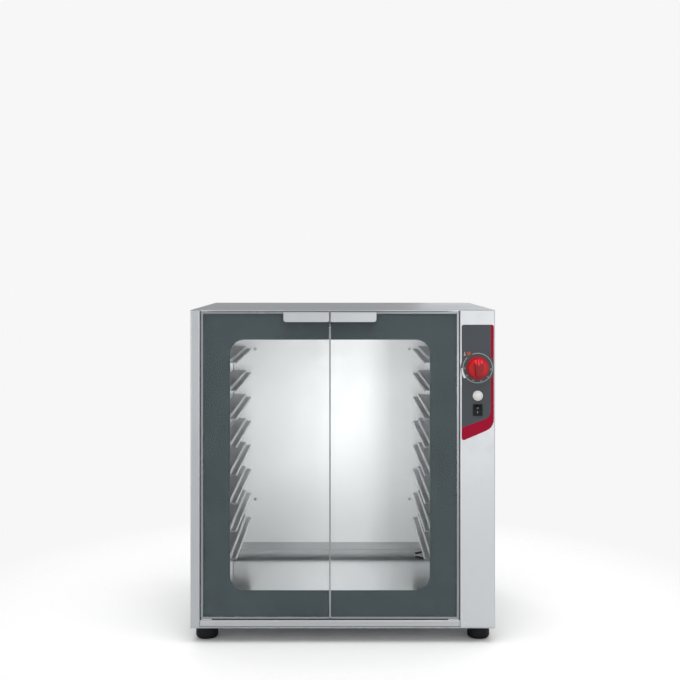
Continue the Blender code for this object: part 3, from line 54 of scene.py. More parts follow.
# Camera, from the photograph: a level lens whose axis meets the picture at AXIS_PIXEL
PICTURE_SIDE = 680
AXIS_PIXEL = (340.5, 267.0)
METRES_PER_PIXEL = 2.624 * MM
CAMERA_DISTANCE = 2.911
CAMERA_X = -5.9 * MM
CAMERA_HEIGHT = 0.988
SENSOR_WIDTH_MM = 36.0

# Backdrop and floor; the fade is in shares of the floor's radius
BACKDROP_LEVEL = 0.93
AMBIENT_LEVEL = 0.66
FLOOR_COLOUR = (0.92, 0.92, 0.92, 1.0)
FLOOR_RADIUS = 1.3
FLOOR_FADE = (0.40, 0.95)
FLOOR_SEGMENTS = 96

# Lamps: name, place, point faced, width, height, level, seen in gloss, lights matt faces
LAMPS = (
    ("overhead_box", (0.2, -1.1, 3.4), (0, -0.5, 0), 3.6, 2.8, 2.42, False, True),
    ("key_box", (0.87, -3.4, 0.40), (0.87, 0, 0.40), 0.44, 0.80, 3.8, True, True),
    ("left_box", (-2.15, -3.1, 0.55), (0, 0, 0.35), 1.4, 1.0, 4.5, True, False),
    ("right_box", (1.6, -3.4, 0.7), (1.5, 0, 0.7), 1.2, 1.2, 2.0, True, True),
    ("front_box", (0.9, -3.4, 1.95), (0, 0, 0.5), 1.6, 1.0, 1.3, True, True),
    ("rear_box", (-0.8, 3.4, 2.4), (0, 0, 0.5), 2.4, 1.8, 3.4, False, True),
    ("rear_right_box", (1.35, 3.0, 1.25), (0.3, 0, 0.9), 1.9, 1.0, 1.6, True, True),
)

# Prints on the control film: ink steps, the band, and the dial about the knob's middle
FRONT_NORMAL_Y = -0.99  # the film's front face leans less than this
INK_THICKNESS = 0.05 * MM
INK_STEP = 0.04 * MM
BAND_SIDE_WIDTH = 8.2 * MM
BAND_FOOT_RISE = 32.0 * MM
BAND_SLOPE_RISE = 28.5 * MM
BAND_INNER_SETBACK = 16 * MM
BAND_INNER_STEPS = 10
STRAIGHT_DEG = 1  # edges that bend less are one line
DIAL_FIELD_RADIUS = 45 * MM
DIAL_RING_RADIUS = 38.8 * MM
DIAL_RING_WIDTH = 1.7 * MM
DIAL_RING_START_DEG = 135
DIAL_RING_SWEEP_DEG = 336
DIAL_STEPS = 120
WEDGE_START_DEG = 180
WEDGE_SWEEP_DEG = 38
WEDGE_WIDTHS = (2.8 * MM, 5.0 * MM)
WEDGE_BLANK = 1 * MM  # its width before the outer edge is drawn out
WEDGE_STEPS = 16
NUMBER_HEIGHT = 4.4 * MM
DIGIT_SHARE = 0.7  # of the lettering's size
NUMBER_RADIUS = 34.8 * MM
NUMBER_ANGLES_DEG = (181.5, 215, 250, 285, 318, 354)
NUMBERS = ("30", "40", "50", "60", "70", "80")
HEAT_MARK_PLACE = (-23.4 * MM, 38.0 * MM)
HEAT_MARK_HALF = 4.6 * MM
HEAT_MARK_CORNER = 1.6 * MM
THERMOMETER_PLACE = (-34.1 * MM, 37.2 * MM)
THERMOMETER_STEM = 1.0 * MM
THERMOMETER_BULB = 2.2 * MM
THERMOMETER_HALF_HEIGHT = 5.0 * MM
PRINT_SOFTNESS = 0.9  # of a half width, for round ends

# Knob, in heights above its rear rim
KNOB_SKIRT = 4.5 * MM
KNOB_BODY_RADIUS = 25 * MM
KNOB_BODY_HEIGHT = 17.5 * MM
KNOB_CAVITY = 5 * MM
KNOB_WALL = 2.2 * MM
HUB_RADIUS = 6.5 * MM
GRIP_TOP_HALF = 12.2 * MM
GRIP_BOTTOM_HALF = 8.4 * MM
GRIP_LENGTH = 23.4 * MM
GRIP_TOP_SLOPE = 9.0 * MM
GRIP_CREST_START = 12.5 * MM
GRIP_BOTTOM_SLOPE = 1.8 * MM
GRIP_SIDE_SLOPE = 1.4 * MM
POINTER_TOP_HALF = 2.3 * MM
POINTER_LENGTH = 19 * MM
# The pointer's border: a thin raised triangle in the darker red, painted shade round the pointer.
POINTER_SHADE_TOP_HALF = 4.6 * MM
POINTER_SHADE_LENGTH = 24 * MM
GRIP_SETBACK = 0.3 * MM
GRIP_BOTTOM_CORNER = 4.5 * MM
GRIP_TOP_CORNER = 5.5 * MM
GRIP_EDGE = 1.6 * MM
POINTER_SHADE_PROUD = 0.15 * MM
POINTER_PROUD = 0.3 * MM
POINTER_TIP = 0.6 * MM
POINTER_EDGE = 0.1 * MM

# Lamp lens and collar, in radii and heights above the film; the stem and nut are behind it
LENS_RADIUS = 9.8 * MM
LENS_RISE = 2.2 * MM
LENS_GROOVE = 0.8 * MM
LAMP_COLLAR = 5.4 * MM
COLLAR_BEVEL = (1.2 * MM, 2.6 * MM)
COLLAR_FOOT = 0.3 * MM
STEM_RADIUS = 6 * MM
NUT_RADIUS = 9 * MM
NUT_FRONT = -2.6 * MM
NUT_REAR = -6.6 * MM

# Rocker marks: the ring's radii, the bar's half width, half height and corner
ROCKER_FACE_NORMAL_Y = -0.8
ROCKER_FACE_TURN = 0.1
ROCKER_RING = (1.5 * MM, 2.5 * MM)
ROCKER_BAR = (0.35 * MM, 2 * MM)
ROCKER_BAR_CORNER = 0.2 * MM

# Screws: head radius and height; the rings of the head are shares of these, and those of its
# cross recess are shares of the cross's arm, of its half width and of the head's height
BAFFLE_SCREW = (4.6 * MM, 2.4 * MM)
PANEL_SCREW = (4.4 * MM, 2.4 * MM)
COLUMN_SCREW = (2.6 * MM, 1.2 * MM)
HEAD_RINGS = ((1, 0.35), (0.86, 0.8), (0.62, 1))
CROSS_ARM = 0.5
CROSS_HALF = 0.13
CROSS_RINGS = ((1, 1, 1.02), (0.85, 0.8, 0.35))

# Places of the screws, from the edges of their sheets
COLUMN_SCREW_PLACE = (14.1 * MM, 11.4 * MM)
BAFFLE_SCREW_SIDES = (67.7 * MM, 65.7 * MM)
BAFFLE_SCREW_ENDS = (135 * MM, 68 * MM)
BACK_SCREW_INSET = 8 * MM
BACK_SCREW_END = 30 * MM
BACK_SCREW_ROWS = 5
BACK_TOP_DROP = 7 * MM
BACK_TOP_SIDE = 100 * MM

# Rubber feet
FOOT_RIM = 5 * MM
FOOT_HOLLOW = 1.5 * MM
FOOT_WAIST = 0.8 * MM
FOOT_STEP = 1.5 * MM

# Cable gland: radii and lengths along its axis, from the back panel outwards
GLAND_BORE = 4.8 * MM
GLAND_THREAD = 9.7 * MM
GLAND_DOME = 11.5 * MM
GLAND_MOUTH = 8.5 * MM
GLAND_DOME_START = 2 * MM
GLAND_DOME_CURVE = 6 * MM
GLAND_NUT_EDGE = 0.5 * MM
GLAND_NUTS = (("gland_hexagon", 0.3 * MM, 6 * MM), ("gland_locknut", -6.5 * MM, 5 * MM))

# Faces round turned pieces and across rounded edges
ROUND_SEGMENTS = 72
SMALL_SEGMENTS = 48
SCREW_SEGMENTS = 32
EDGE_STEPS = 5


def box_centre(name):
    low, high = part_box(name)
    return (low + high) / 2


OVERLAY_LOW, OVERLAY_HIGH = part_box("control_overlay")
INK_BASE_Y = OVERLAY_LOW.y
KNOB_LOW, KNOB_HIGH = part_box("temperature_knob")
KNOB_CENTRE = box_centre("temperature_knob")
KNOB_RADIUS = (KNOB_HIGH.x - KNOB_LOW.x) / 2
LAMP_LOW, LAMP_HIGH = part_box("pilot_lamp")
LAMP_CENTRE = box_centre("pilot_lamp")
SWITCH_CENTRE = box_centre("switch_housing")
COLUMN_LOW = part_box("control_column")[0]


# Mesh helpers


def finish_piece(name, bm, finish, body, replaced=(), smooth_angle=None):
    """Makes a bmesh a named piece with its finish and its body."""
    bmesh.ops.recalc_face_normals(bm, faces=bm.faces)
    mesh = bpy.data.meshes.new(name)
    bm.to_mesh(mesh)
    bm.free()
    if smooth_angle is not None:
        mesh.shade_smooth()
        mesh.set_sharp_from_angle(angle=math.radians(smooth_angle))
    mesh.materials.append(finish)
    piece = bpy.data.objects.new(name, mesh)
    bpy.context.scene.collection.objects.link(piece)
    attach(piece, body)
    if replaced:
        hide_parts(*replaced)
    return piece


def turned(profile, segments):
    """A bmesh of (radius, height) points spun about +Z."""
    bm = bmesh.new()
    verts = [bm.verts.new((radius, 0, height)) for radius, height in profile]
    edges = [bm.edges.new(pair) for pair in zip(verts, verts[1:])]
    bmesh.ops.spin(
        bm, geom=verts + edges, axis=(0, 0, 1), cent=(0, 0, 0), angle=math.tau, steps=segments, use_merge=True
    )
    bmesh.ops.remove_doubles(bm, verts=bm.verts, dist=SAME_SPOT)
    return bm


def placed(bm, place, way=(0, 0, 1)):
    """Turns a bmesh from +Z to a direction and moves it to its place."""
    turn = Vector((0, 0, 1)).rotation_difference(Vector(way)).to_matrix().to_4x4()
    bmesh.ops.transform(bm, matrix=Matrix.Translation(place) @ turn, verts=bm.verts)
    return bm


def rounded_profile(rows, steps):
    """A chain of (radius, height, rounding in mm) rows with its corners rounded by bevels."""
    bm = bmesh.new()
    verts = [bm.verts.new((radius, 0, height)) for radius, height, _ in rows]
    for pair in zip(verts, verts[1:]):
        bm.edges.new(pair)
    start = verts[0]
    for vert, (_, _, rounding) in zip(verts, rows):
        if rounding > 0:
            bevel_corner(bm, vert, rounding * MM, steps)
    chain = []
    current, previous = start, None
    while current is not None:
        chain.append((current.co.x, current.co.z))
        others = [edge.other_vert(current) for edge in current.link_edges]
        onward = [vert for vert in others if vert is not previous]
        previous, current = current, onward[0] if onward else None
    bm.free()
    return chain


def bevel_corner(bm, vert, setback, steps):
    """Rounds one corner of a flat face or a chain, starting a setback away from it."""
    bmesh.ops.bevel(
        bm,
        geom=[vert],
        offset=setback,
        offset_type="OFFSET",
        segments=steps,
        profile=0.5,
        affect="VERTICES",
        material=-1,
    )


def bevel_edges(bm, edges, width, steps):
    bmesh.ops.bevel(
        bm,
        geom=edges,
        offset=width,
        offset_type="OFFSET",
        segments=steps,
        profile=0.5,
        affect="EDGES",
        clamp_overlap=True,
        material=-1,
    )


def flat_shape(corners, radii, steps=8):
    """A bmesh face in the XZ plane with its corners rounded."""
    bm = bmesh.new()
    verts = [bm.verts.new((x, 0, z)) for x, z in corners]
    bm.faces.new(verts)
    for vert, radius in zip(verts, radii):
        if radius > 0:
            bevel_corner(bm, vert, radius, steps)
    return bm


def thickened(bm, front_y, rear_y):
    """Gives the flat faces of a bmesh at y = 0 a thickness between two depths."""
    bmesh.ops.translate(bm, verts=bm.verts, vec=(0, rear_y, 0))
    made = bmesh.ops.extrude_face_region(bm, geom=bm.faces[:], use_keep_orig=True)
    moved = [item for item in made["geom"] if isinstance(item, bmesh.types.BMVert)]
    bmesh.ops.translate(bm, verts=moved, vec=(0, front_y - rear_y, 0))
    return bm


def ring_sector(inner, outer, start_deg, sweep_deg, steps):
    """A flat ring sector in the XZ plane round the origin, from an edge that is spun."""
    bm = bmesh.new()
    start = math.radians(start_deg)
    way = Vector((math.cos(start), 0, math.sin(start)))
    verts = [bm.verts.new(way * inner), bm.verts.new(way * outer)]
    edge = bm.edges.new(verts)
    bmesh.ops.spin(
        bm,
        geom=[*verts, edge],
        axis=(0, 1, 0),
        cent=(0, 0, 0),
        angle=-math.radians(sweep_deg),
        steps=steps,
        use_merge=False,
    )
    return bm


# Shader helpers


def wire(tree, socket, value):
    if isinstance(value, bpy.types.NodeSocket):
        tree.links.new(value, socket)
    elif isinstance(value, tuple) and len(value) == 3 and socket.type == "RGBA":
        socket.default_value = (*value, 1.0)
    else:
        socket.default_value = value


def node(tree, kind, inputs=None, **settings):
    made = tree.nodes.new(kind)
    for key, value in settings.items():
        setattr(made, key, value)
    for key, value in (inputs or {}).items():
        wire(tree, made.inputs[key], value)
    return made


def calculated(tree, operation, first, second):
    return node(tree, "ShaderNodeMath", {0: first, 1: second}, operation=operation).outputs[0]


def vectors(tree, operation, first, second):
    return node(tree, "ShaderNodeVectorMath", {0: first, 1: second}, operation=operation).outputs


def remapped(tree, value, low, high, new_low=0.0, new_high=1.0):
    inputs = {"Value": value, "From Min": low, "From Max": high, "To Min": new_low, "To Max": new_high}
    return node(tree, "ShaderNodeMapRange", inputs).outputs[0]


def blended(tree, factor, first, second):
    """A colour mix; a Mix node has its colours at sockets 6 and 7 and gives one at 2."""
    return node(tree, "ShaderNodeMix", {0: factor, 6: first, 7: second}, data_type="RGBA").outputs[2]


def noise(tree, vector, scale, detail, roughness):
    inputs = {"Vector": vector, "Scale": scale, "Detail": detail, "Roughness": roughness}
    return node(tree, "ShaderNodeTexNoise", inputs).outputs["Fac"]


def group(name, inputs, outputs):
    """An empty node group with its sockets: (name, kind, default) in, (name, kind) out."""
    tree = bpy.data.node_groups.new(name, "ShaderNodeTree")
    for label, kind, default in inputs:
        socket = tree.interface.new_socket(name=label, in_out="INPUT", socket_type=kind)
        socket.default_value = default
    for label, kind in outputs:
        tree.interface.new_socket(name=label, in_out="OUTPUT", socket_type=kind)
    entry = tree.nodes.new("NodeGroupInput")
    leave = tree.nodes.new("NodeGroupOutput")
    return tree, entry.outputs, leave.inputs


def use_group(tree, made_group, inputs):
    made = node(tree, "ShaderNodeGroup", node_tree=made_group)
    for key, value in inputs.items():
        wire(tree, made.inputs[key], value)
    return made.outputs


FLOAT = "NodeSocketFloat"
VECTOR = "NodeSocketVector"


def brushed_grain_group():
    """Long fine scratches: Lines is the number of lines per metre along each axis."""
    sockets = [("Lines", VECTOR, (900.0, 900.0, 6.0))]
    tree, given, out = group("brushed grain", sockets, [("Tone", FLOAT), ("Height", FLOAT)])
    place = node(tree, "ShaderNodeTexCoord").outputs["Object"]
    fine = vectors(tree, "MULTIPLY", place, given["Lines"])[0]
    fine_lines = noise(tree, fine, 1.0, 3.0, 0.65)
    broad = vectors(tree, "MULTIPLY", fine, (0.17, 0.17, 0.17))[0]
    broad_lines = noise(tree, broad, 1.0, 2.0, 0.5)
    tone = calculated(tree, "MULTIPLY_ADD", broad_lines, 0.5)
    tone.node.inputs[2].default_value = 0.25
    fine_tone = calculated(tree, "MULTIPLY", fine_lines, 0.5)
    tree.links.new(calculated(tree, "ADD", fine_tone, tone), out["Tone"])
    tree.links.new(fine_lines, out["Height"])
    return tree


def handling_group():
    """Cloudy patches of a rolled sheet and the small smears left by handling."""
    sockets = [("Cloud size", FLOAT, 4.0), ("Smear size", FLOAT, 30.0)]
    tree, given, out = group("handling marks", sockets, [("Cloud", FLOAT), ("Smear", FLOAT)])
    place = node(tree, "ShaderNodeTexCoord").outputs["Object"]
    cloud = noise(tree, place, given["Cloud size"], 4.0, 0.55)
    tree.links.new(remapped(tree, cloud, 0.3, 0.7), out["Cloud"])
    smear = noise(tree, place, given["Smear size"], 5.0, 0.7)
    tree.links.new(remapped(tree, smear, 0.52, 0.72), out["Smear"])
    return tree


def edge_wear_and_highlight_group():
    """Rounded normals at the edges, and a mask of where they are, broken up by noise; the finishes lighten
    edges by this mask, partly as wear and partly as a painted highlight.
    """
    sockets = [("Radius", FLOAT, 0.001), ("Breaks", FLOAT, 90.0)]
    tree, given, out = group("edge wear and highlight", sockets, [("Wear and highlight", FLOAT), ("Normal", VECTOR)])
    soft = node(tree, "ShaderNodeBevel", {"Radius": given["Radius"]}, samples=4).outputs[0]
    flat = node(tree, "ShaderNodeNewGeometry").outputs["Normal"]
    facing = vectors(tree, "DOT_PRODUCT", soft, flat)["Value"]
    edge = remapped(tree, facing, 0.995, 0.86)
    place = node(tree, "ShaderNodeTexCoord").outputs["Object"]
    breaks = remapped(tree, noise(tree, place, given["Breaks"], 3.0, 0.6), 0.35, 0.6)
    tree.links.new(calculated(tree, "MULTIPLY", edge, breaks), out["Wear and highlight"])
    tree.links.new(soft, out["Normal"])
    return tree


def moulded_group():
    """The fine even grain of moulded plastic and rubber, with faint flow marks."""
    sockets = [("Grain", FLOAT, 1500.0), ("Flow", FLOAT, 40.0)]
    tree, given, out = group("moulded surface", sockets, [("Tone", FLOAT), ("Height", FLOAT)])
    place = node(tree, "ShaderNodeTexCoord").outputs["Object"]
    grain = noise(tree, place, given["Grain"], 2.0, 0.5)
    flow = noise(tree, place, given["Flow"], 3.0, 0.6)
    tree.links.new(flow, out["Tone"])
    tree.links.new(grain, out["Height"])
    return tree


def spangle_group():
    """The leaf-like crystals of a zinc coat."""
    sockets = [("Crystals", FLOAT, 90.0)]
    tree, given, out = group("zinc spangle", sockets, [("Tone", FLOAT), ("Seams", FLOAT)])
    place = node(tree, "ShaderNodeTexCoord").outputs["Object"]
    warp_inputs = {"Vector": place, "Scale": 25.0, "Detail": 2.0}
    warp = node(tree, "ShaderNodeTexNoise", warp_inputs).outputs["Color"]
    bent = vectors(tree, "ADD", place, vectors(tree, "MULTIPLY", warp, (0.02, 0.02, 0.02))[0])[0]
    inputs = {"Vector": bent, "Scale": given["Crystals"]}
    cells = node(tree, "ShaderNodeTexVoronoi", inputs).outputs["Color"]
    split = node(tree, "ShaderNodeSeparateColor", {"Color": cells}).outputs["Red"]
    tree.links.new(split, out["Tone"])
    rims = node(tree, "ShaderNodeTexVoronoi", inputs, feature="DISTANCE_TO_EDGE").outputs["Distance"]
    tree.links.new(remapped(tree, rims, 0.0, 0.06, 1.0, 0.0), out["Seams"])
    return tree


def dust_group():
    """A thin film of flour dust on faces that look up."""
    tree, given, out = group("settled dust", [("Amount", FLOAT, 0.3)], [("Dust", FLOAT)])
    normal = node(tree, "ShaderNodeNewGeometry").outputs["Normal"]
    upward = node(tree, "ShaderNodeSeparateXYZ", {0: normal}).outputs["Z"]
    place = node(tree, "ShaderNodeTexCoord").outputs["Object"]
    patches = remapped(tree, noise(tree, place, 14.0, 6.0, 0.7), 0.4, 0.75)
    mask = calculated(tree, "MULTIPLY", remapped(tree, upward, 0.6, 1.0), patches)
    tree.links.new(calculated(tree, "MULTIPLY", mask, given["Amount"]), out["Dust"])
    return tree


GRAIN = brushed_grain_group()
HANDLING = handling_group()
EDGES = edge_wear_and_highlight_group()
MOULDED = moulded_group()
SPANGLE = spangle_group()
DUST = dust_group()


def new_finish(name):
    """An empty material with a Principled shader wired to its output."""
    finish = bpy.data.materials.new(name)
    finish.use_nodes = True
    tree = finish.node_tree
    shader = tree.nodes["Principled BSDF"]
    return finish, tree, shader


def set_sockets(tree, shader, **sockets):
    for key, value in sockets.items():
        wire(tree, shader.inputs[key.replace("_", " ")], value)


def bumped(tree, height, distance, normal, strength):
    inputs = {"Height": height, "Distance": distance, "Strength": strength}
    if normal is not None:
        inputs["Normal"] = normal
    return node(tree, "ShaderNodeBump", inputs).outputs[0]


def sheet_steel(
    name,
    colour,
    dark,
    roughness,
    lines,
    grain_depth,
    cloud=4.0,
    dust=0.0,
    edge=0.8 * MM,
    cloudiness=0.35,
    edge_wear_and_highlight_gain=1.18,
):
    """Sheet steel with grain along one axis, rolled clouds, smears and softened edges, which are made lighter
    partly as wear and partly as a painted highlight.
    """
    finish, tree, shader = new_finish(name)
    grain = use_group(tree, GRAIN, {"Lines": lines})
    marks = use_group(tree, HANDLING, {"Cloud size": cloud})
    tone = blended(tree, remapped(tree, grain["Tone"], 0.3, 0.7), dark, colour)
    tone = blended(tree, calculated(tree, "MULTIPLY", marks["Cloud"], cloudiness), tone, colour)
    soft_normal = None
    if edge > 0:
        edges = use_group(tree, EDGES, {"Radius": edge})
        # Lighter edges: partly wear, partly a painted highlight.
        bright = tuple(min(1.0, c * edge_wear_and_highlight_gain) for c in colour)
        tone = blended(tree, calculated(tree, "MULTIPLY", edges["Wear and highlight"], 0.6), tone, bright)
        soft_normal = edges["Normal"]
    cloudy = remapped(tree, marks["Cloud"], 0.0, 1.0, roughness * 0.88, roughness * 1.12)
    smeared = calculated(tree, "MULTIPLY", marks["Smear"], 0.07)
    rough = calculated(tree, "ADD", cloudy, smeared)
    if dust > 0:
        settled = use_group(tree, DUST, {"Amount": dust})["Dust"]
        tone = blended(tree, settled, tone, (0.80, 0.79, 0.76))
        tree.links.new(calculated(tree, "SUBTRACT", 1.0, settled), shader.inputs["Metallic"])
        rough = calculated(tree, "MAXIMUM", rough, settled)
    else:
        shader.inputs["Metallic"].default_value = 1.0
    normal = bumped(tree, grain["Height"], grain_depth, soft_normal, 0.5)
    set_sockets(tree, shader, Base_Color=tone, Roughness=rough, Normal=normal)
    return finish


ALONG_X = (6.0, 1100.0, 1100.0)
ALONG_Y = (1100.0, 6.0, 1100.0)
ALONG_Z = (1100.0, 1100.0, 6.0)
MILL = (160.0, 160.0, 160.0)


def zinc_coat():
    """Galvanised sheet for the back panel and hidden brackets."""
    finish, tree, shader = new_finish("galvanised sheet")
    zinc = use_group(tree, SPANGLE, {"Crystals": 150.0})
    marks = use_group(tree, HANDLING, {"Cloud size": 5.0})
    edges = use_group(tree, EDGES, {"Radius": 0.8 * MM})
    tone = blended(tree, zinc["Tone"], (0.44, 0.46, 0.48), (0.54, 0.56, 0.58))
    tone = blended(tree, calculated(tree, "MULTIPLY", zinc["Seams"], 0.25), tone, (0.68, 0.70, 0.72))
    tone = blended(tree, calculated(tree, "MULTIPLY", marks["Smear"], 0.3), tone, (0.45, 0.46, 0.47))
    rough = remapped(tree, zinc["Tone"], 0.0, 1.0, 0.34, 0.5)
    normal = bumped(tree, zinc["Seams"], 0.02 * MM, edges["Normal"], 0.4)
    set_sockets(tree, shader, Base_Color=tone, Roughness=rough, Normal=normal, Metallic=1.0)
    return finish


def moulded(name, colour, shade, roughness, grain=1500.0, depth=0.02 * MM, edge=0.5 * MM, shine=0.5):
    """Moulded plastic or rubber with a fine grain, flow marks and softened edges, made lighter partly as wear
    and partly as a painted highlight.
    """
    finish, tree, shader = new_finish(name)
    shader.inputs["Specular IOR Level"].default_value = shine
    surface = use_group(tree, MOULDED, {"Grain": grain})
    edges = use_group(tree, EDGES, {"Radius": edge})
    tone = blended(tree, remapped(tree, surface["Tone"], 0.3, 0.7), shade, colour)
    # Lighter edges: partly wear, partly a painted highlight.
    bright = tuple(min(1.0, c * 1.25 + 0.004) for c in colour)
    tone = blended(tree, calculated(tree, "MULTIPLY", edges["Wear and highlight"], 0.5), tone, bright)
    rough = remapped(tree, surface["Tone"], 0.3, 0.7, roughness * 0.9, roughness * 1.1)
    normal = bumped(tree, surface["Height"], depth, edges["Normal"], 0.6)
    set_sockets(tree, shader, Base_Color=tone, Roughness=rough, Normal=normal)
    return finish


def printed(name, colour, shade, roughness, grain=900.0, depth=0.0008 * MM, shine=0.25):
    """Ink on film or glass: nearly even, with a fine screen texture and little shine."""
    finish, tree, shader = new_finish(name)
    shader.inputs["Specular IOR Level"].default_value = shine
    surface = use_group(tree, MOULDED, {"Grain": grain, "Flow": 12.0})
    tone = blended(tree, remapped(tree, surface["Tone"], 0.3, 0.7), shade, colour)
    rough = remapped(tree, surface["Height"], 0.3, 0.7, roughness * 0.92, roughness * 1.08)
    normal = bumped(tree, surface["Height"], depth, None, 0.5)
    set_sockets(tree, shader, Base_Color=tone, Roughness=rough, Normal=normal)
    return finish


def door_glass():
    """Clear float glass with the faintest green and light smears; light passes to the chamber."""
    finish, tree, shader = new_finish("float glass")
    marks = use_group(tree, HANDLING, {"Cloud size": 6.0, "Smear size": 18.0})
    tint = blended(tree, marks["Cloud"], (0.955, 0.965, 0.965), (0.97, 0.98, 0.98))
    set_sockets(tree, shader, Base_Color=tint, Roughness=0.0, IOR=1.14, Transmission_Weight=1.0)
    clear = node(tree, "ShaderNodeBsdfTransparent", {"Color": (0.93, 0.94, 0.94)})
    shadow = node(tree, "ShaderNodeLightPath").outputs["Is Shadow Ray"]
    mix = node(tree, "ShaderNodeMixShader", {0: shadow, 1: shader.outputs[0], 2: clear.outputs[0]})
    tree.links.new(mix.outputs[0], tree.nodes["Material Output"].inputs["Surface"])
    return finish


def lamp_plastic():
    """Frosted opal plastic of the pilot lamp's lens."""
    finish, tree, shader = new_finish("opal lens")
    surface = use_group(tree, MOULDED, {"Grain": 900.0, "Flow": 120.0})
    tone = blended(tree, surface["Tone"], (0.62, 0.615, 0.605), (0.70, 0.695, 0.685))
    rough = remapped(tree, surface["Tone"], 0.3, 0.7, 0.28, 0.38)
    normal = bumped(tree, surface["Height"], 0.01 * MM, None, 0.5)
    set_sockets(tree, shader, Base_Color=tone, Roughness=rough, Normal=normal, Subsurface_Weight=0.15)
    shader.inputs["Subsurface Radius"].default_value = (0.002, 0.002, 0.0015)
    return finish


STEEL_SIDE = sheet_steel(
    "satin steel side", (0.40, 0.415, 0.43), (0.36, 0.375, 0.39), 0.33, ALONG_Z, 0.01 * MM
)
STEEL_COLUMN = sheet_steel(
    "satin steel column", (0.49, 0.505, 0.52), (0.45, 0.465, 0.48), 0.44, ALONG_Z, 0.008 * MM
)
# Sill, base pan and mouth frame: their edges are lightened strongly over a wide edge, a painted highlight
# line along the sill's top edge.
STEEL_FRONT = sheet_steel(
    "satin steel across",
    (0.42, 0.435, 0.45),
    (0.37, 0.385, 0.40),
    0.33,
    ALONG_X,
    0.01 * MM,
    edge=1.8 * MM,
    edge_wear_and_highlight_gain=1.9,
)
STEEL_LID_PAINTED_SHADE = sheet_steel(
    "satin steel lid", (0.42, 0.435, 0.45), (0.38, 0.395, 0.41), 0.36, ALONG_X, 0.008 * MM, dust=0.03
)
# A grey Specular Tint darkens the lid's grazing reflection: painted shade.
STEEL_LID_PAINTED_SHADE.node_tree.nodes["Principled BSDF"].inputs["Specular Tint"].default_value = (0.42, 0.43, 0.45, 1.0)
STEEL_LINER = sheet_steel(
    "mill finish liner",
    (0.90, 0.905, 0.915),
    (0.83, 0.835, 0.845),
    0.36,
    MILL,
    0.006 * MM,
    cloud=9.0,
    cloudiness=0.8,
)
STEEL_BAFFLE = sheet_steel(
    "matt baffle",
    (0.97, 0.975, 0.98),
    (0.90, 0.905, 0.915),
    0.44,
    MILL,
    0.006 * MM,
    cloud=9.0,
    cloudiness=0.8,
)
# The duct wall behind the baffle is the chamber's steel made darker: painted shade.
STEEL_DUCT_PAINTED_SHADE = sheet_steel(
    "shaded duct steel", (0.64, 0.65, 0.66), (0.58, 0.59, 0.60), 0.40, MILL, 0.006 * MM, cloud=5.0
)
STEEL_FLOOR = sheet_steel(
    "polished chamber floor", (0.56, 0.57, 0.58), (0.51, 0.52, 0.53), 0.14, ALONG_X, 0.003 * MM, cloud=6.0
)
STEEL_RUNNER = sheet_steel(
    "runner steel", (0.54, 0.55, 0.565), (0.48, 0.49, 0.505), 0.42, ALONG_Y, 0.003 * MM, edge=0
)
STEEL_TRIM = sheet_steel(
    "door trim metal", (0.25, 0.262, 0.274), (0.21, 0.222, 0.234), 0.28, ALONG_Z, 0.004 * MM, edge=0.3 * MM
)
STEEL_HANDLE = sheet_steel(
    "handle steel", (0.47, 0.485, 0.495), (0.43, 0.445, 0.46), 0.30, ALONG_X, 0.004 * MM, edge=0.5 * MM
)
STEEL_HEATER = sheet_steel(
    "heater sheath", (0.32, 0.31, 0.30), (0.22, 0.21, 0.21), 0.42, MILL, 0.02 * MM, cloud=20.0
)
STEEL_SCREW = sheet_steel(
    "screw steel", (0.58, 0.59, 0.60), (0.50, 0.51, 0.52), 0.30, MILL, 0.004 * MM, cloud=60.0, edge=0.2 * MM
)
ZINC = zinc_coat()
GLASS = door_glass()
BORDER_INK = printed("border enamel", (0.044, 0.057, 0.062), (0.040, 0.052, 0.057), 0.5, shine=0.1)
FILM_GREY = printed("grey film", (0.050, 0.059, 0.067), (0.046, 0.055, 0.062), 0.42)
FILM_CRIMSON = printed("crimson ink", (0.31, 0.003, 0.026), (0.285, 0.003, 0.023), 0.45, shine=0.08)
INK_PALE = printed("pale ink", (0.36, 0.375, 0.375), (0.33, 0.345, 0.345), 0.45)
INK_WHITE = printed("white ink", (0.70, 0.71, 0.71), (0.66, 0.67, 0.67), 0.45)
INK_ORANGE = printed("orange ink", (0.40, 0.065, 0.020), (0.36, 0.06, 0.015), 0.45)
# The off ring's blue-grey ink is partly print, partly a painted highlight on the rocker's upper half.
INK_MARK_AND_HIGHLIGHT = printed("blue grey ink and painted highlight", (0.20, 0.29, 0.34), (0.18, 0.26, 0.31), 0.4)
RED = moulded("red knob plastic", (0.45, 0.008, 0.013), (0.40, 0.006, 0.010), 0.34, shine=0.22)
# The grip and its crest are the knob's own red plastic: the grip's darker red is painted shade, the crest's
# bright red a painted highlight.
GRIP_RED_PAINTED_SHADE = moulded("grip plastic, painted shade", (0.28, 0.010, 0.014), (0.24, 0.008, 0.012), 0.36, shine=0.2)
CREST_RED_PAINTED_HIGHLIGHT = moulded("crest plastic, painted highlight", (0.72, 0.008, 0.016), (0.64, 0.006, 0.013), 0.26, shine=0.5)
BLACK = moulded("black plastic", (0.005, 0.006, 0.008), (0.004, 0.005, 0.006), 0.34, shine=0.15)
OPAL = lamp_plastic()
WHITE = moulded("terminal plastic", (0.72, 0.71, 0.67), (0.66, 0.65, 0.61), 0.42)
RUBBER = moulded(
    "black rubber", (0.006, 0.007, 0.010), (0.004, 0.005, 0.007), 0.60, 900.0, 0.04 * MM, 1.0 * MM, shine=0.15
)
SILICONE = moulded("grey silicone", (0.30, 0.31, 0.32), (0.26, 0.27, 0.28), 0.48, 700.0, 0.03 * MM, 0.6 * MM)


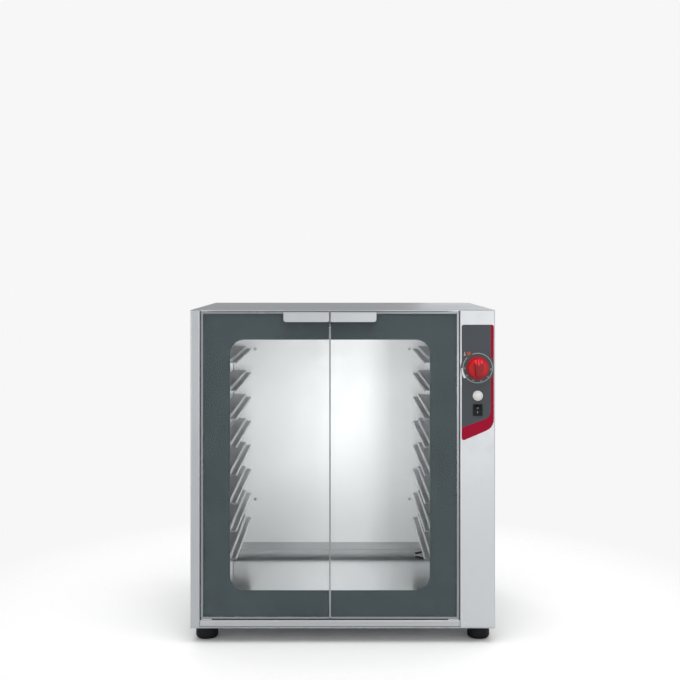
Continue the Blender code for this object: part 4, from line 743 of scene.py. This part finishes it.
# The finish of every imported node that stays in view
NODE_FINISHES = {
    "base_pan": STEEL_FRONT,
    "front_sill": STEEL_FRONT,
    "left_side_panel": STEEL_SIDE,
    "right_side_panel": STEEL_SIDE,
    "top_panel": STEEL_LID_PAINTED_SHADE,
    "back_panel": ZINC,
    "control_column": STEEL_COLUMN,
    "control_overlay": FILM_GREY,
    "chamber_left_wall": STEEL_LINER,
    "chamber_right_wall": STEEL_LINER,
    "chamber_ceiling": STEEL_LINER,
    "chamber_floor": STEEL_FLOOR,
    "chamber_back_wall": STEEL_DUCT_PAINTED_SHADE,
    "mouth_frame": STEEL_FRONT,
    "mouth_gasket": SILICONE,
    "air_baffle": STEEL_BAFFLE,
    "heating_element": STEEL_HEATER,
    "element_bracket": ZINC,
    "thermostat_body": BLACK,
    "thermostat_probe": BLACK,
    "thermostat_spindle": STEEL_SCREW,
    "pilot_lamp": OPAL,
    "switch_housing": BLACK,
    "switch_rocker": BLACK,
    "terminal_block": WHITE,
    "cable_gland": BLACK,
    "temperature_knob": RED,
    "meeting_seal": SILICONE,
}
for side in ("left", "right"):
    NODE_FINISHES[f"{side}_glass"] = GLASS
    NODE_FINISHES[f"{side}_border_print"] = BORDER_INK
    NODE_FINISHES[f"{side}_edge_trim"] = STEEL_TRIM
    NODE_FINISHES[f"{side}_handle"] = STEEL_HANDLE
    for end in ("top", "bottom"):
        NODE_FINISHES[f"{side}_{end}_pivot"] = STEEL_SCREW


def finish_nodes():
    """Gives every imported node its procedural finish."""
    for name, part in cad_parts.items():
        finish = NODE_FINISHES.get(name)
        if finish is None:
            finish = RUBBER if name.startswith("foot_") else STEEL_RUNNER
        part.data.materials.clear()
        part.data.materials.append(finish)


# Printed film


def on_film(name, bm, layer, finish):
    """A flat print at y = 0 laid on the film, so many ink steps thick."""
    front = INK_BASE_Y - INK_THICKNESS - layer * INK_STEP
    thickened(bm, front, INK_BASE_Y)
    return finish_piece(name, bm, finish, "cabinet")


def film_face():
    """A bmesh of the film's front face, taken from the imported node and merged."""
    bm = bmesh.new()
    bm.from_mesh(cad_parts["control_overlay"].data)
    bmesh.ops.remove_doubles(bm, verts=bm.verts, dist=SAME_SPOT)
    hidden = [face for face in bm.faces if face.normal.y > FRONT_NORMAL_Y]
    bmesh.ops.delete(bm, geom=hidden, context="FACES")
    bmesh.ops.translate(bm, verts=bm.verts, vec=(0, -INK_BASE_Y, 0))
    return bm


def crimson_band():
    """The band down the film's right edge and along its slanted foot, cut from the film's face."""
    bm = film_face()
    inner_right = OVERLAY_HIGH.x - BAND_SIDE_WIDTH
    foot = Vector((OVERLAY_LOW.x, 0, OVERLAY_LOW.z + BAND_FOOT_RISE))
    slope = Vector((inner_right - OVERLAY_LOW.x, 0, BAND_SLOPE_RISE))
    downward = Vector((slope.z, 0, -slope.x)).normalized()
    for place, normal in (((inner_right, 0, 0), Vector((1, 0, 0))), (foot, downward)):
        geom = bm.verts[:] + bm.edges[:] + bm.faces[:]
        bmesh.ops.bisect_plane(bm, geom=geom, plane_co=place, plane_no=normal)
    inside = []
    for face in bm.faces:
        middle = face.calc_center_median()
        if middle.x < inner_right and (middle - foot).dot(downward) < 0:
            inside.append(face)
    bmesh.ops.delete(bm, geom=inside, context="FACES")
    bmesh.ops.dissolve_faces(bm, faces=bm.faces)
    bmesh.ops.dissolve_limit(bm, angle_limit=math.radians(STRAIGHT_DEG), verts=bm.verts, edges=bm.edges)
    corner = Vector((inner_right, 0, foot.z + BAND_SLOPE_RISE))
    nearest = min(bm.verts, key=lambda vert: (vert.co - corner).length)
    bevel_corner(bm, nearest, BAND_INNER_SETBACK, BAND_INNER_STEPS)
    on_film("control_band", bm, 0, FILM_CRIMSON)


def dial_field():
    """The grey disc that interrupts the band round the knob, cut off at the film's edge."""
    bm = bmesh.new()
    bmesh.ops.create_circle(bm, cap_ends=True, radius=DIAL_FIELD_RADIUS, segments=ROUND_SEGMENTS)
    placed(bm, (KNOB_CENTRE.x, 0, KNOB_CENTRE.z), (0, -1, 0))
    bmesh.ops.bisect_plane(
        bm,
        geom=bm.verts[:] + bm.edges[:] + bm.faces[:],
        plane_co=(OVERLAY_HIGH.x, 0, 0),
        plane_no=(1, 0, 0),
        clear_outer=True,
    )
    on_film("dial_field", bm, 1, FILM_GREY)


def dial_prints():
    """The ring round the knob, its thick arc, the heat mark and the thermometer."""
    centre = (KNOB_CENTRE.x, 0, KNOB_CENTRE.z)
    half = DIAL_RING_WIDTH / 2
    inner, outer = DIAL_RING_RADIUS - half, DIAL_RING_RADIUS + half
    ring = ring_sector(inner, outer, DIAL_RING_START_DEG, DIAL_RING_SWEEP_DEG, DIAL_STEPS)
    bmesh.ops.translate(ring, verts=ring.verts, vec=centre)
    on_film("dial_ring", ring, 2, INK_PALE)

    wedge = ring_sector(outer, outer + WEDGE_BLANK, WEDGE_START_DEG, WEDGE_SWEEP_DEG, WEDGE_STEPS)
    for vert in wedge.verts:
        reach = math.hypot(vert.co.x, vert.co.z)
        if reach > outer + WEDGE_BLANK / 2:
            angle = math.degrees(math.atan2(vert.co.z, vert.co.x)) % 360
            share = (angle - WEDGE_START_DEG) / WEDGE_SWEEP_DEG
            width = WEDGE_WIDTHS[0] + (WEDGE_WIDTHS[1] - WEDGE_WIDTHS[0]) * share
            vert.co *= (outer + width) / reach
    bmesh.ops.translate(wedge, verts=wedge.verts, vec=centre)
    on_film("dial_wedge", wedge, 3, INK_WHITE)

    x, z = KNOB_CENTRE.x + HEAT_MARK_PLACE[0], KNOB_CENTRE.z + HEAT_MARK_PLACE[1]
    half = HEAT_MARK_HALF
    corners = [(x - half, z - half), (x + half, z - half), (x + half, z + half), (x - half, z + half)]
    on_film("dial_heat_mark", flat_shape(corners, [HEAT_MARK_CORNER] * 4), 2, INK_ORANGE)

    x, z = KNOB_CENTRE.x + THERMOMETER_PLACE[0], KNOB_CENTRE.z + THERMOMETER_PLACE[1]
    stem, bulb = THERMOMETER_STEM, THERMOMETER_BULB
    foot, top = z - THERMOMETER_HALF_HEIGHT, z + THERMOMETER_HALF_HEIGHT
    neck = foot + bulb * 2
    corners = [(x - bulb, foot), (x + bulb, foot), (x + bulb, neck), (x + stem, neck)]
    corners += [(x + stem, top), (x - stem, top), (x - stem, neck), (x - bulb, neck)]
    wide, slim = bulb * PRINT_SOFTNESS, stem * PRINT_SOFTNESS
    radii = [wide, wide, wide, 0, slim, slim, 0, wide]
    on_film("dial_thermometer", flat_shape(corners, radii), 2, INK_PALE)


def number_mesh(text, height):
    """A bmesh of flat lettering in the XY plane, centred on the origin."""
    curve = bpy.data.curves.new("lettering", "FONT")
    curve.body = text
    curve.size = height / DIGIT_SHARE
    curve.align_x = "CENTER"
    curve.align_y = "CENTER"
    curve.resolution_u = 4
    holder = bpy.data.objects.new("lettering", curve)
    bpy.context.scene.collection.objects.link(holder)
    bpy.context.view_layer.update()
    bm = bmesh.new()
    mesh = holder.evaluated_get(bpy.context.evaluated_depsgraph_get()).to_mesh()
    bm.from_mesh(mesh)
    holder.to_mesh_clear()
    bpy.data.objects.remove(holder)
    bpy.data.curves.remove(curve)
    bmesh.ops.remove_doubles(bm, verts=bm.verts, dist=SAME_SPOT)
    return bm


def dial_numbers():
    """Plain numbers round the knob, one piece each."""
    for text, angle_deg in zip(NUMBERS, NUMBER_ANGLES_DEG):
        angle = math.radians(angle_deg)
        x = KNOB_CENTRE.x + NUMBER_RADIUS * math.cos(angle)
        z = KNOB_CENTRE.z + NUMBER_RADIUS * math.sin(angle)
        bm = number_mesh(text, NUMBER_HEIGHT)
        upright = Matrix.Rotation(math.pi / 2, 4, "X")
        bmesh.ops.transform(bm, matrix=Matrix.Translation((x, 0, z)) @ upright, verts=bm.verts)
        on_film(f"dial_number_{text}", bm, 2, INK_PALE)


# Knob, lamp and switch


def knob_profile():
    """The knob body's profile, from inside its hub out round the skirt to the front."""
    bore = HUB_RADIUS / 2
    rim = KNOB_RADIUS - KNOB_WALL
    shoulder = (KNOB_RADIUS + KNOB_BODY_RADIUS) / 2
    rows = [
        (0, KNOB_BODY_HEIGHT - KNOB_WALL, 0),
        (bore, KNOB_BODY_HEIGHT - KNOB_WALL, 0),
        (bore, KNOB_WALL / 2, 0),
        (HUB_RADIUS, KNOB_WALL / 2, 0),
        (HUB_RADIUS, KNOB_CAVITY, 0),
        (rim, KNOB_CAVITY - KNOB_WALL / 2, 0.8),
        (rim, 0, 0.4),
        (KNOB_RADIUS, 0, 0.5),
        (KNOB_RADIUS, KNOB_SKIRT, 1.6),
        (shoulder, KNOB_SKIRT + KNOB_WALL * 0.8, 1.4),
        (KNOB_BODY_RADIUS, KNOB_BODY_HEIGHT, 2.4),
        (0, KNOB_BODY_HEIGHT + KNOB_WALL / 3, 0),
    ]
    return rounded_profile(rows, EDGE_STEPS)


def knob():
    """The red knob: a turned body, a grip bar that slopes back at its top, and its pointer; the grip's face
    is a darker red as painted shade, its sloped top and the pointer a bright red as painted highlights, with
    a darker painted border round the pointer.
    """
    place = (KNOB_CENTRE.x, KNOB_HIGH.y, KNOB_CENTRE.z)
    body = placed(turned(knob_profile(), ROUND_SEGMENTS), place, (0, -1, 0))
    finish_piece("knob_body", body, RED, "knob", ["temperature_knob"], 40)

    corners = [(-GRIP_BOTTOM_HALF, -GRIP_LENGTH), (GRIP_BOTTOM_HALF, -GRIP_LENGTH)]
    corners += [(GRIP_TOP_HALF, GRIP_LENGTH), (-GRIP_TOP_HALF, GRIP_LENGTH)]
    radii = [GRIP_BOTTOM_CORNER] * 2 + [GRIP_TOP_CORNER] * 2
    face_y = KNOB_LOW.y + GRIP_SETBACK
    bm = sloped_prism(corners, radii, face_y, GRIP_EDGE)
    # The grip's face takes the darker red, painted shade; its crest above GRIP_CREST_START, which slopes up,
    # takes the bright red, a painted highlight.
    for name, upward, finish in (("knob_grip", 1, GRIP_RED_PAINTED_SHADE), ("knob_crest", -1, CREST_RED_PAINTED_HIGHLIGHT)):
        half = bm.copy()
        geom = half.verts[:] + half.edges[:] + half.faces[:]
        place, normal = (0, 0, GRIP_CREST_START), (0, 0, upward)
        made = bmesh.ops.bisect_plane(half, geom=geom, plane_co=place, plane_no=normal, clear_outer=True)
        seam = [item for item in made["geom_cut"] if isinstance(item, bmesh.types.BMEdge)]
        bmesh.ops.contextual_create(half, geom=seam)
        bmesh.ops.translate(half, verts=half.verts, vec=(KNOB_CENTRE.x, 0, KNOB_CENTRE.z))
        finish_piece(name, half, finish, "knob", smooth_angle=50)
    bm.free()

    # A thin raised triangle in the darker red is painted shade round the pointer; the pointer on it, in the
    # bright red, is a painted highlight.
    pointer_pieces = (
        ("knob_pointer_shade", POINTER_SHADE_TOP_HALF, POINTER_SHADE_LENGTH, POINTER_SHADE_PROUD, GRIP_RED_PAINTED_SHADE),
        ("knob_pointer", POINTER_TOP_HALF, POINTER_LENGTH, POINTER_PROUD, CREST_RED_PAINTED_HIGHLIGHT),
    )
    for name, top_half, length, proud, finish in pointer_pieces:
        top = GRIP_LENGTH + proud
        corners = [(-top_half, top), (0, top - length), (top_half, top)]
        bm = sloped_prism(corners, [0, POINTER_TIP, 0], face_y - proud, POINTER_EDGE)
        bmesh.ops.translate(bm, verts=bm.verts, vec=(KNOB_CENTRE.x, 0, KNOB_CENTRE.z))
        finish_piece(name, bm, finish, "knob")


def sloped_prism(corners, radii, face_y, softness):
    """A prism on the knob's body whose sides lean in and whose top end slopes back."""
    root_y = KNOB_HIGH.y - KNOB_BODY_HEIGHT + KNOB_WALL / 2
    bm = thickened(flat_shape(corners, radii), face_y, root_y)
    front = [vert for vert in bm.verts if vert.co.y < (face_y + root_y) / 2]
    for vert in front:
        slope = GRIP_TOP_SLOPE if vert.co.z > 0 else GRIP_BOTTOM_SLOPE
        vert.co.z -= vert.co.z / GRIP_LENGTH * slope
        vert.co.x -= vert.co.x / GRIP_TOP_HALF * GRIP_SIDE_SLOPE
    kept = set(front)
    rim = [edge for edge in bm.edges if set(edge.verts) <= kept]
    bevel_edges(bm, rim, softness, EDGE_STEPS)
    return bm


def lamp():
    """The pilot lamp: an opal lens in a collar, with its stem and nut behind the column."""
    radius = (LAMP_HIGH.x - LAMP_LOW.x) / 2
    reach = OVERLAY_LOW.y - LAMP_LOW.y
    groove = LENS_RADIUS + LENS_GROOVE
    end = OVERLAY_LOW.y - LAMP_HIGH.y
    rows = [
        (0, reach, 0),
        (LENS_RADIUS * 0.55, reach - LENS_RISE * 0.3, 2.5),
        (LENS_RADIUS, reach - LENS_RISE, 0.7),
        (LENS_RADIUS, LAMP_COLLAR - LENS_GROOVE, 0),
        (groove, LAMP_COLLAR - LENS_GROOVE, 0),
        (groove, LAMP_COLLAR, 0.3),
        (radius - COLLAR_BEVEL[0], LAMP_COLLAR, 0.9),
        (radius, LAMP_COLLAR - COLLAR_BEVEL[1], 1.2),
        (radius, COLLAR_FOOT, 0),
        (STEM_RADIUS, COLLAR_FOOT, 0),
        (STEM_RADIUS, NUT_FRONT, 0),
        (NUT_RADIUS, NUT_FRONT, 0),
        (NUT_RADIUS, NUT_REAR, 0),
        (STEM_RADIUS, NUT_REAR, 0),
        (STEM_RADIUS, end, 0),
        (0, end, 0),
    ]
    bm = turned(rounded_profile(rows, EDGE_STEPS), SMALL_SEGMENTS)
    placed(bm, (LAMP_CENTRE.x, OVERLAY_LOW.y, LAMP_CENTRE.z), (0, -1, 0))
    finish_piece("lamp_lens", bm, OPAL, "cabinet", ["pilot_lamp"], 40)


def rocker_faces():
    """The middle and the normal of the rocker's upper and lower front faces."""
    faces = {}
    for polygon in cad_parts["switch_rocker"].data.polygons:
        normal, middle = polygon.normal, polygon.center
        if normal.y < ROCKER_FACE_NORMAL_Y and abs(normal.x) < ROCKER_FACE_TURN:
            half = "upper" if middle.z > SWITCH_CENTRE.z else "lower"
            faces.setdefault(half, []).append((middle.copy(), normal.copy(), polygon.area))
    found = {}
    for half, items in faces.items():
        whole = sum(area for _, _, area in items)
        middle = sum((spot * area for spot, _, area in items), Vector()) / whole
        found[half] = (middle, max(items, key=lambda item: item[2])[1])
    return found


def rocker_marks():
    """Plain marks on the rocker: a ring for off above, in blue-grey ink that also stands for a painted
    highlight on the upper half, and a bar for on below.
    """
    for half, (middle, normal) in rocker_faces().items():
        if half == "upper":
            bm = ring_sector(*ROCKER_RING, 0, 360, SMALL_SEGMENTS)
            bmesh.ops.remove_doubles(bm, verts=bm.verts, dist=SAME_SPOT)
        else:
            x, z = ROCKER_BAR
            bm = flat_shape([(-x, -z), (x, -z), (x, z), (-x, z)], [ROCKER_BAR_CORNER] * 4, 3)
        thickened(bm, -INK_THICKNESS, 0)
        lean = Vector((0, -1, 0)).rotation_difference(normal).to_matrix().to_4x4()
        bmesh.ops.transform(bm, matrix=Matrix.Translation(middle) @ lean, verts=bm.verts)
        ink = INK_MARK_AND_HIGHLIGHT if half == "upper" else INK_WHITE
        finish_piece(f"rocker_{half}_mark", bm, ink, "rocker")


# Screws, feet and gland


def screw_head(radius, height):
    """A pan head with a cross recess, on +Z with its underside at zero."""
    bm = bmesh.new()
    arm, half = radius * CROSS_ARM, radius * CROSS_HALF
    made = bmesh.ops.create_circle(bm, segments=SCREW_SEGMENTS, radius=radius)
    edges = list({edge for vert in made["verts"] for edge in vert.link_edges})
    bmesh.ops.contextual_create(bm, geom=edges)
    for width, rise in HEAD_RINGS:
        edges = spread_rim(bm, edges, lambda co: ring_point(co, radius * width, height * rise))
    for longer, wider, rise in CROSS_RINGS:
        edges = spread_rim(bm, edges, lambda co: cross_point(co, arm * longer, half * wider, height * rise))
    bmesh.ops.contextual_create(bm, geom=edges)
    return bm


def spread_rim(bm, edges, move):
    """Extrudes an open rim and moves each new vertex; returns the new rim."""
    made = bmesh.ops.extrude_edge_only(bm, edges=edges)
    verts = [item for item in made["geom"] if isinstance(item, bmesh.types.BMVert)]
    for vert in verts:
        vert.co = move(vert.co)
    fresh = set(verts)
    spread = [item for item in made["geom"] if isinstance(item, bmesh.types.BMEdge)]
    return [edge for edge in spread if set(edge.verts) <= fresh]


def ring_point(co, reach, z):
    """The point at a radius and a height in the direction of a point on the rim."""
    way = Vector((co.x, co.y, 0)).normalized() * reach
    return Vector((way.x, way.y, z))


def cross_point(co, arm, half, z):
    """The point of a cross outline in the direction of a point on the rim."""
    way = Vector((co.x, co.y, 0)).normalized()
    along, aside = max(abs(way.x), abs(way.y)), min(abs(way.x), abs(way.y))
    reach = min(arm / along, half / max(aside, 0.05))
    spot = way * reach
    return Vector((spot.x, spot.y, z))


def screw(name, place, way, size):
    bm = placed(screw_head(*size), place, way)
    finish_piece(name, bm, STEEL_SCREW, "cabinet", smooth_angle=40)


def screws():
    """Screws on the baffle, at the column's foot and along the back panel's edges."""
    low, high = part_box("air_baffle")
    for i, x in enumerate((low.x + BAFFLE_SCREW_SIDES[0], high.x - BAFFLE_SCREW_SIDES[1])):
        for k, z in enumerate((low.z + BAFFLE_SCREW_ENDS[0], high.z - BAFFLE_SCREW_ENDS[1])):
            screw(f"baffle_screw_{i}{k}", (x, low.y, z), (0, -1, 0), BAFFLE_SCREW)
    across, up = COLUMN_SCREW_PLACE
    place = (COLUMN_LOW.x + across, COLUMN_LOW.y, COLUMN_LOW.z + up)
    screw("column_screw", place, (0, -1, 0), COLUMN_SCREW)
    low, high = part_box("back_panel")
    reach = high.z - low.z - 2 * BACK_SCREW_END
    for i in range(BACK_SCREW_ROWS):
        z = low.z + BACK_SCREW_END + reach * i / (BACK_SCREW_ROWS - 1)
        for side, x in (("left", low.x + BACK_SCREW_INSET), ("right", high.x - BACK_SCREW_INSET)):
            screw(f"back_screw_{side}_{i}", (x, high.y, z), (0, 1, 0), PANEL_SCREW)
    for i, side in enumerate((-1, 0, 1)):
        place = ((high.x - BACK_TOP_SIDE) * side, high.y, high.z - BACK_TOP_DROP)
        screw(f"back_screw_top_{i}", place, (0, 1, 0), PANEL_SCREW)


def rubber_feet():
    """Moulded feet: a rounded tread, a shallow waist and a rim under the base."""
    for name in ("foot_front_left", "foot_front_right", "foot_rear_left", "foot_rear_right"):
        low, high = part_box(name)
        middle = (low + high) / 2
        radius, height = (high.x - low.x) / 2, high.z - low.z
        neck = height - FOOT_RIM
        rows = [
            (0, FOOT_HOLLOW, 0),
            (radius * 0.55, FOOT_HOLLOW, 0.8),
            (radius * 0.62, 0, 0.8),
            (radius, 0, 9),
            (radius, neck * 0.5, 3),
            (radius - FOOT_WAIST, neck * 0.62, 2),
            (radius, neck * 0.74, 3),
            (radius, neck, 1),
            (radius - FOOT_STEP, neck + FOOT_STEP, 0.5),
            (radius - FOOT_STEP, height, 0),
            (0, height, 0),
        ]
        bm = turned(rounded_profile(rows, 7), ROUND_SEGMENTS)
        placed(bm, (middle.x, middle.y, low.z))
        finish_piece(f"rubber_{name}", bm, RUBBER, "cabinet", [name], 40)


def gland():
    """The cable gland: a domed nut on a hexagon outside, its thread and a locknut inside."""
    low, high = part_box("cable_gland")
    middle = (low + high) / 2
    panel_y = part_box("back_panel")[1].y
    reach = high.y - panel_y
    inner = low.y - panel_y
    rows = [
        (GLAND_BORE, inner, 0),
        (GLAND_THREAD, inner, 0.4),
        (GLAND_THREAD, GLAND_DOME_START, 0),
        (GLAND_DOME, GLAND_DOME_START, 0),
        (GLAND_DOME, reach - GLAND_DOME_CURVE, 4),
        (GLAND_MOUTH, reach, 1),
        (GLAND_BORE, reach, 0.5),
    ]
    profile = rounded_profile(rows, 6)
    profile.append(profile[0])
    bm = placed(turned(profile, SMALL_SEGMENTS), (middle.x, panel_y, middle.z), (0, 1, 0))
    finish_piece("gland_dome", bm, BLACK, "cabinet", ["cable_gland"], 35)
    corner_radius = (high.z - low.z) / 2 / math.cos(math.pi / 6)
    for name, start, depth in GLAND_NUTS:
        nut = bmesh.new()
        bmesh.ops.create_circle(nut, cap_ends=True, radius=corner_radius, segments=6)
        made = bmesh.ops.extrude_face_region(nut, geom=nut.faces[:], use_keep_orig=True)
        moved = [item for item in made["geom"] if isinstance(item, bmesh.types.BMVert)]
        bmesh.ops.translate(nut, verts=moved, vec=(0, 0, depth))
        bevel_edges(nut, nut.edges[:], GLAND_NUT_EDGE, 3)
        placed(nut, (middle.x, panel_y + start, middle.z), (0, 1, 0))
        finish_piece(name, nut, BLACK, "cabinet", smooth_angle=35)


# Floor, light and camera


def pale_floor():
    """A pale disc that fades to the backdrop, so that only the shadow shows."""
    bm = bmesh.new()
    bmesh.ops.create_circle(bm, cap_ends=True, radius=FLOOR_RADIUS, segments=FLOOR_SEGMENTS)
    mesh = bpy.data.meshes.new("pale_floor")
    bm.to_mesh(mesh)
    bm.free()
    finish, tree, shader = new_finish("pale floor")
    shader.inputs["Roughness"].default_value = 0.9
    shader.inputs["Specular IOR Level"].default_value = 0.0
    shader.inputs["Base Color"].default_value = FLOOR_COLOUR
    place = node(tree, "ShaderNodeTexCoord").outputs["Object"]
    reach = node(tree, "ShaderNodeVectorMath", {0: place}, operation="LENGTH").outputs["Value"]
    fade = remapped(tree, reach, FLOOR_RADIUS * FLOOR_FADE[0], FLOOR_RADIUS * FLOOR_FADE[1])
    gone = node(tree, "ShaderNodeBsdfTransparent")
    mix = node(tree, "ShaderNodeMixShader", {0: fade, 1: shader.outputs[0], 2: gone.outputs[0]})
    tree.links.new(mix.outputs[0], tree.nodes["Material Output"].inputs["Surface"])
    mesh.materials.append(finish)
    floor = bpy.data.objects.new("pale_floor", mesh)
    bpy.context.scene.collection.objects.link(floor)


def backdrop():
    """A world that is white to the camera, mirrors and glass, and a soft ambient light otherwise."""
    world = bpy.data.worlds.new("studio")
    world.use_nodes = True
    tree = world.node_tree
    path = node(tree, "ShaderNodeLightPath").outputs
    seen = calculated(tree, "MAXIMUM", path["Is Camera Ray"], path["Is Glossy Ray"])
    seen = calculated(tree, "MAXIMUM", seen, path["Is Transmission Ray"])
    tone = blended(tree, seen, (AMBIENT_LEVEL,) * 3, (BACKDROP_LEVEL,) * 3)
    shader = tree.nodes["Background"]
    tree.links.new(tone, shader.inputs["Color"])
    shader.inputs["Strength"].default_value = 1.0
    bpy.context.scene.world = world


def soft_box(name, place, facing, width, height, level, in_gloss, on_matt):
    """A soft rectangular lamp of an even level, unseen by the camera."""
    light = bpy.data.lights.new(name, "AREA")
    light.shape = "RECTANGLE"
    light.size = width
    light.size_y = height
    light.energy = level * math.pi * width * height
    lamp = bpy.data.objects.new(name, light)
    lamp.location = place
    lamp.rotation_euler = (Vector(facing) - Vector(place)).to_track_quat("-Z", "Y").to_euler()
    lamp.visible_camera = False
    lamp.visible_glossy = in_gloss
    lamp.visible_diffuse = on_matt
    bpy.context.scene.collection.objects.link(lamp)


def studio_light():
    for row in LAMPS:
        soft_box(*row)


def camera():
    """The photograph's camera: level, with its lens axis at AXIS_PIXEL."""
    data = bpy.data.cameras.new("photo_camera")
    data.sensor_width = SENSOR_WIDTH_MM
    data.sensor_fit = "HORIZONTAL"
    data.lens = SENSOR_WIDTH_MM * CAMERA_DISTANCE / (METRES_PER_PIXEL * PICTURE_SIDE)
    data.shift_x = (PICTURE_SIDE / 2 - AXIS_PIXEL[0]) / PICTURE_SIDE
    data.shift_y = (AXIS_PIXEL[1] - PICTURE_SIDE / 2) / PICTURE_SIDE
    data.dof.use_dof = False
    eye = bpy.data.objects.new("photo_camera", data)
    eye.location = (CAMERA_X, COLUMN_LOW.y - CAMERA_DISTANCE, CAMERA_HEIGHT)
    eye.rotation_euler = (math.pi / 2, 0, 0)
    bpy.context.scene.collection.objects.link(eye)
    bpy.context.scene.camera = eye


def main():
    camera()
    backdrop()
    pale_floor()
    studio_light()
    finish_nodes()
    crimson_band()
    dial_field()
    dial_prints()
    dial_numbers()
    knob()
    lamp()
    rocker_marks()
    screws()
    rubber_feet()
    gland()
    bpy.context.scene.view_settings.view_transform = "Standard"


main()
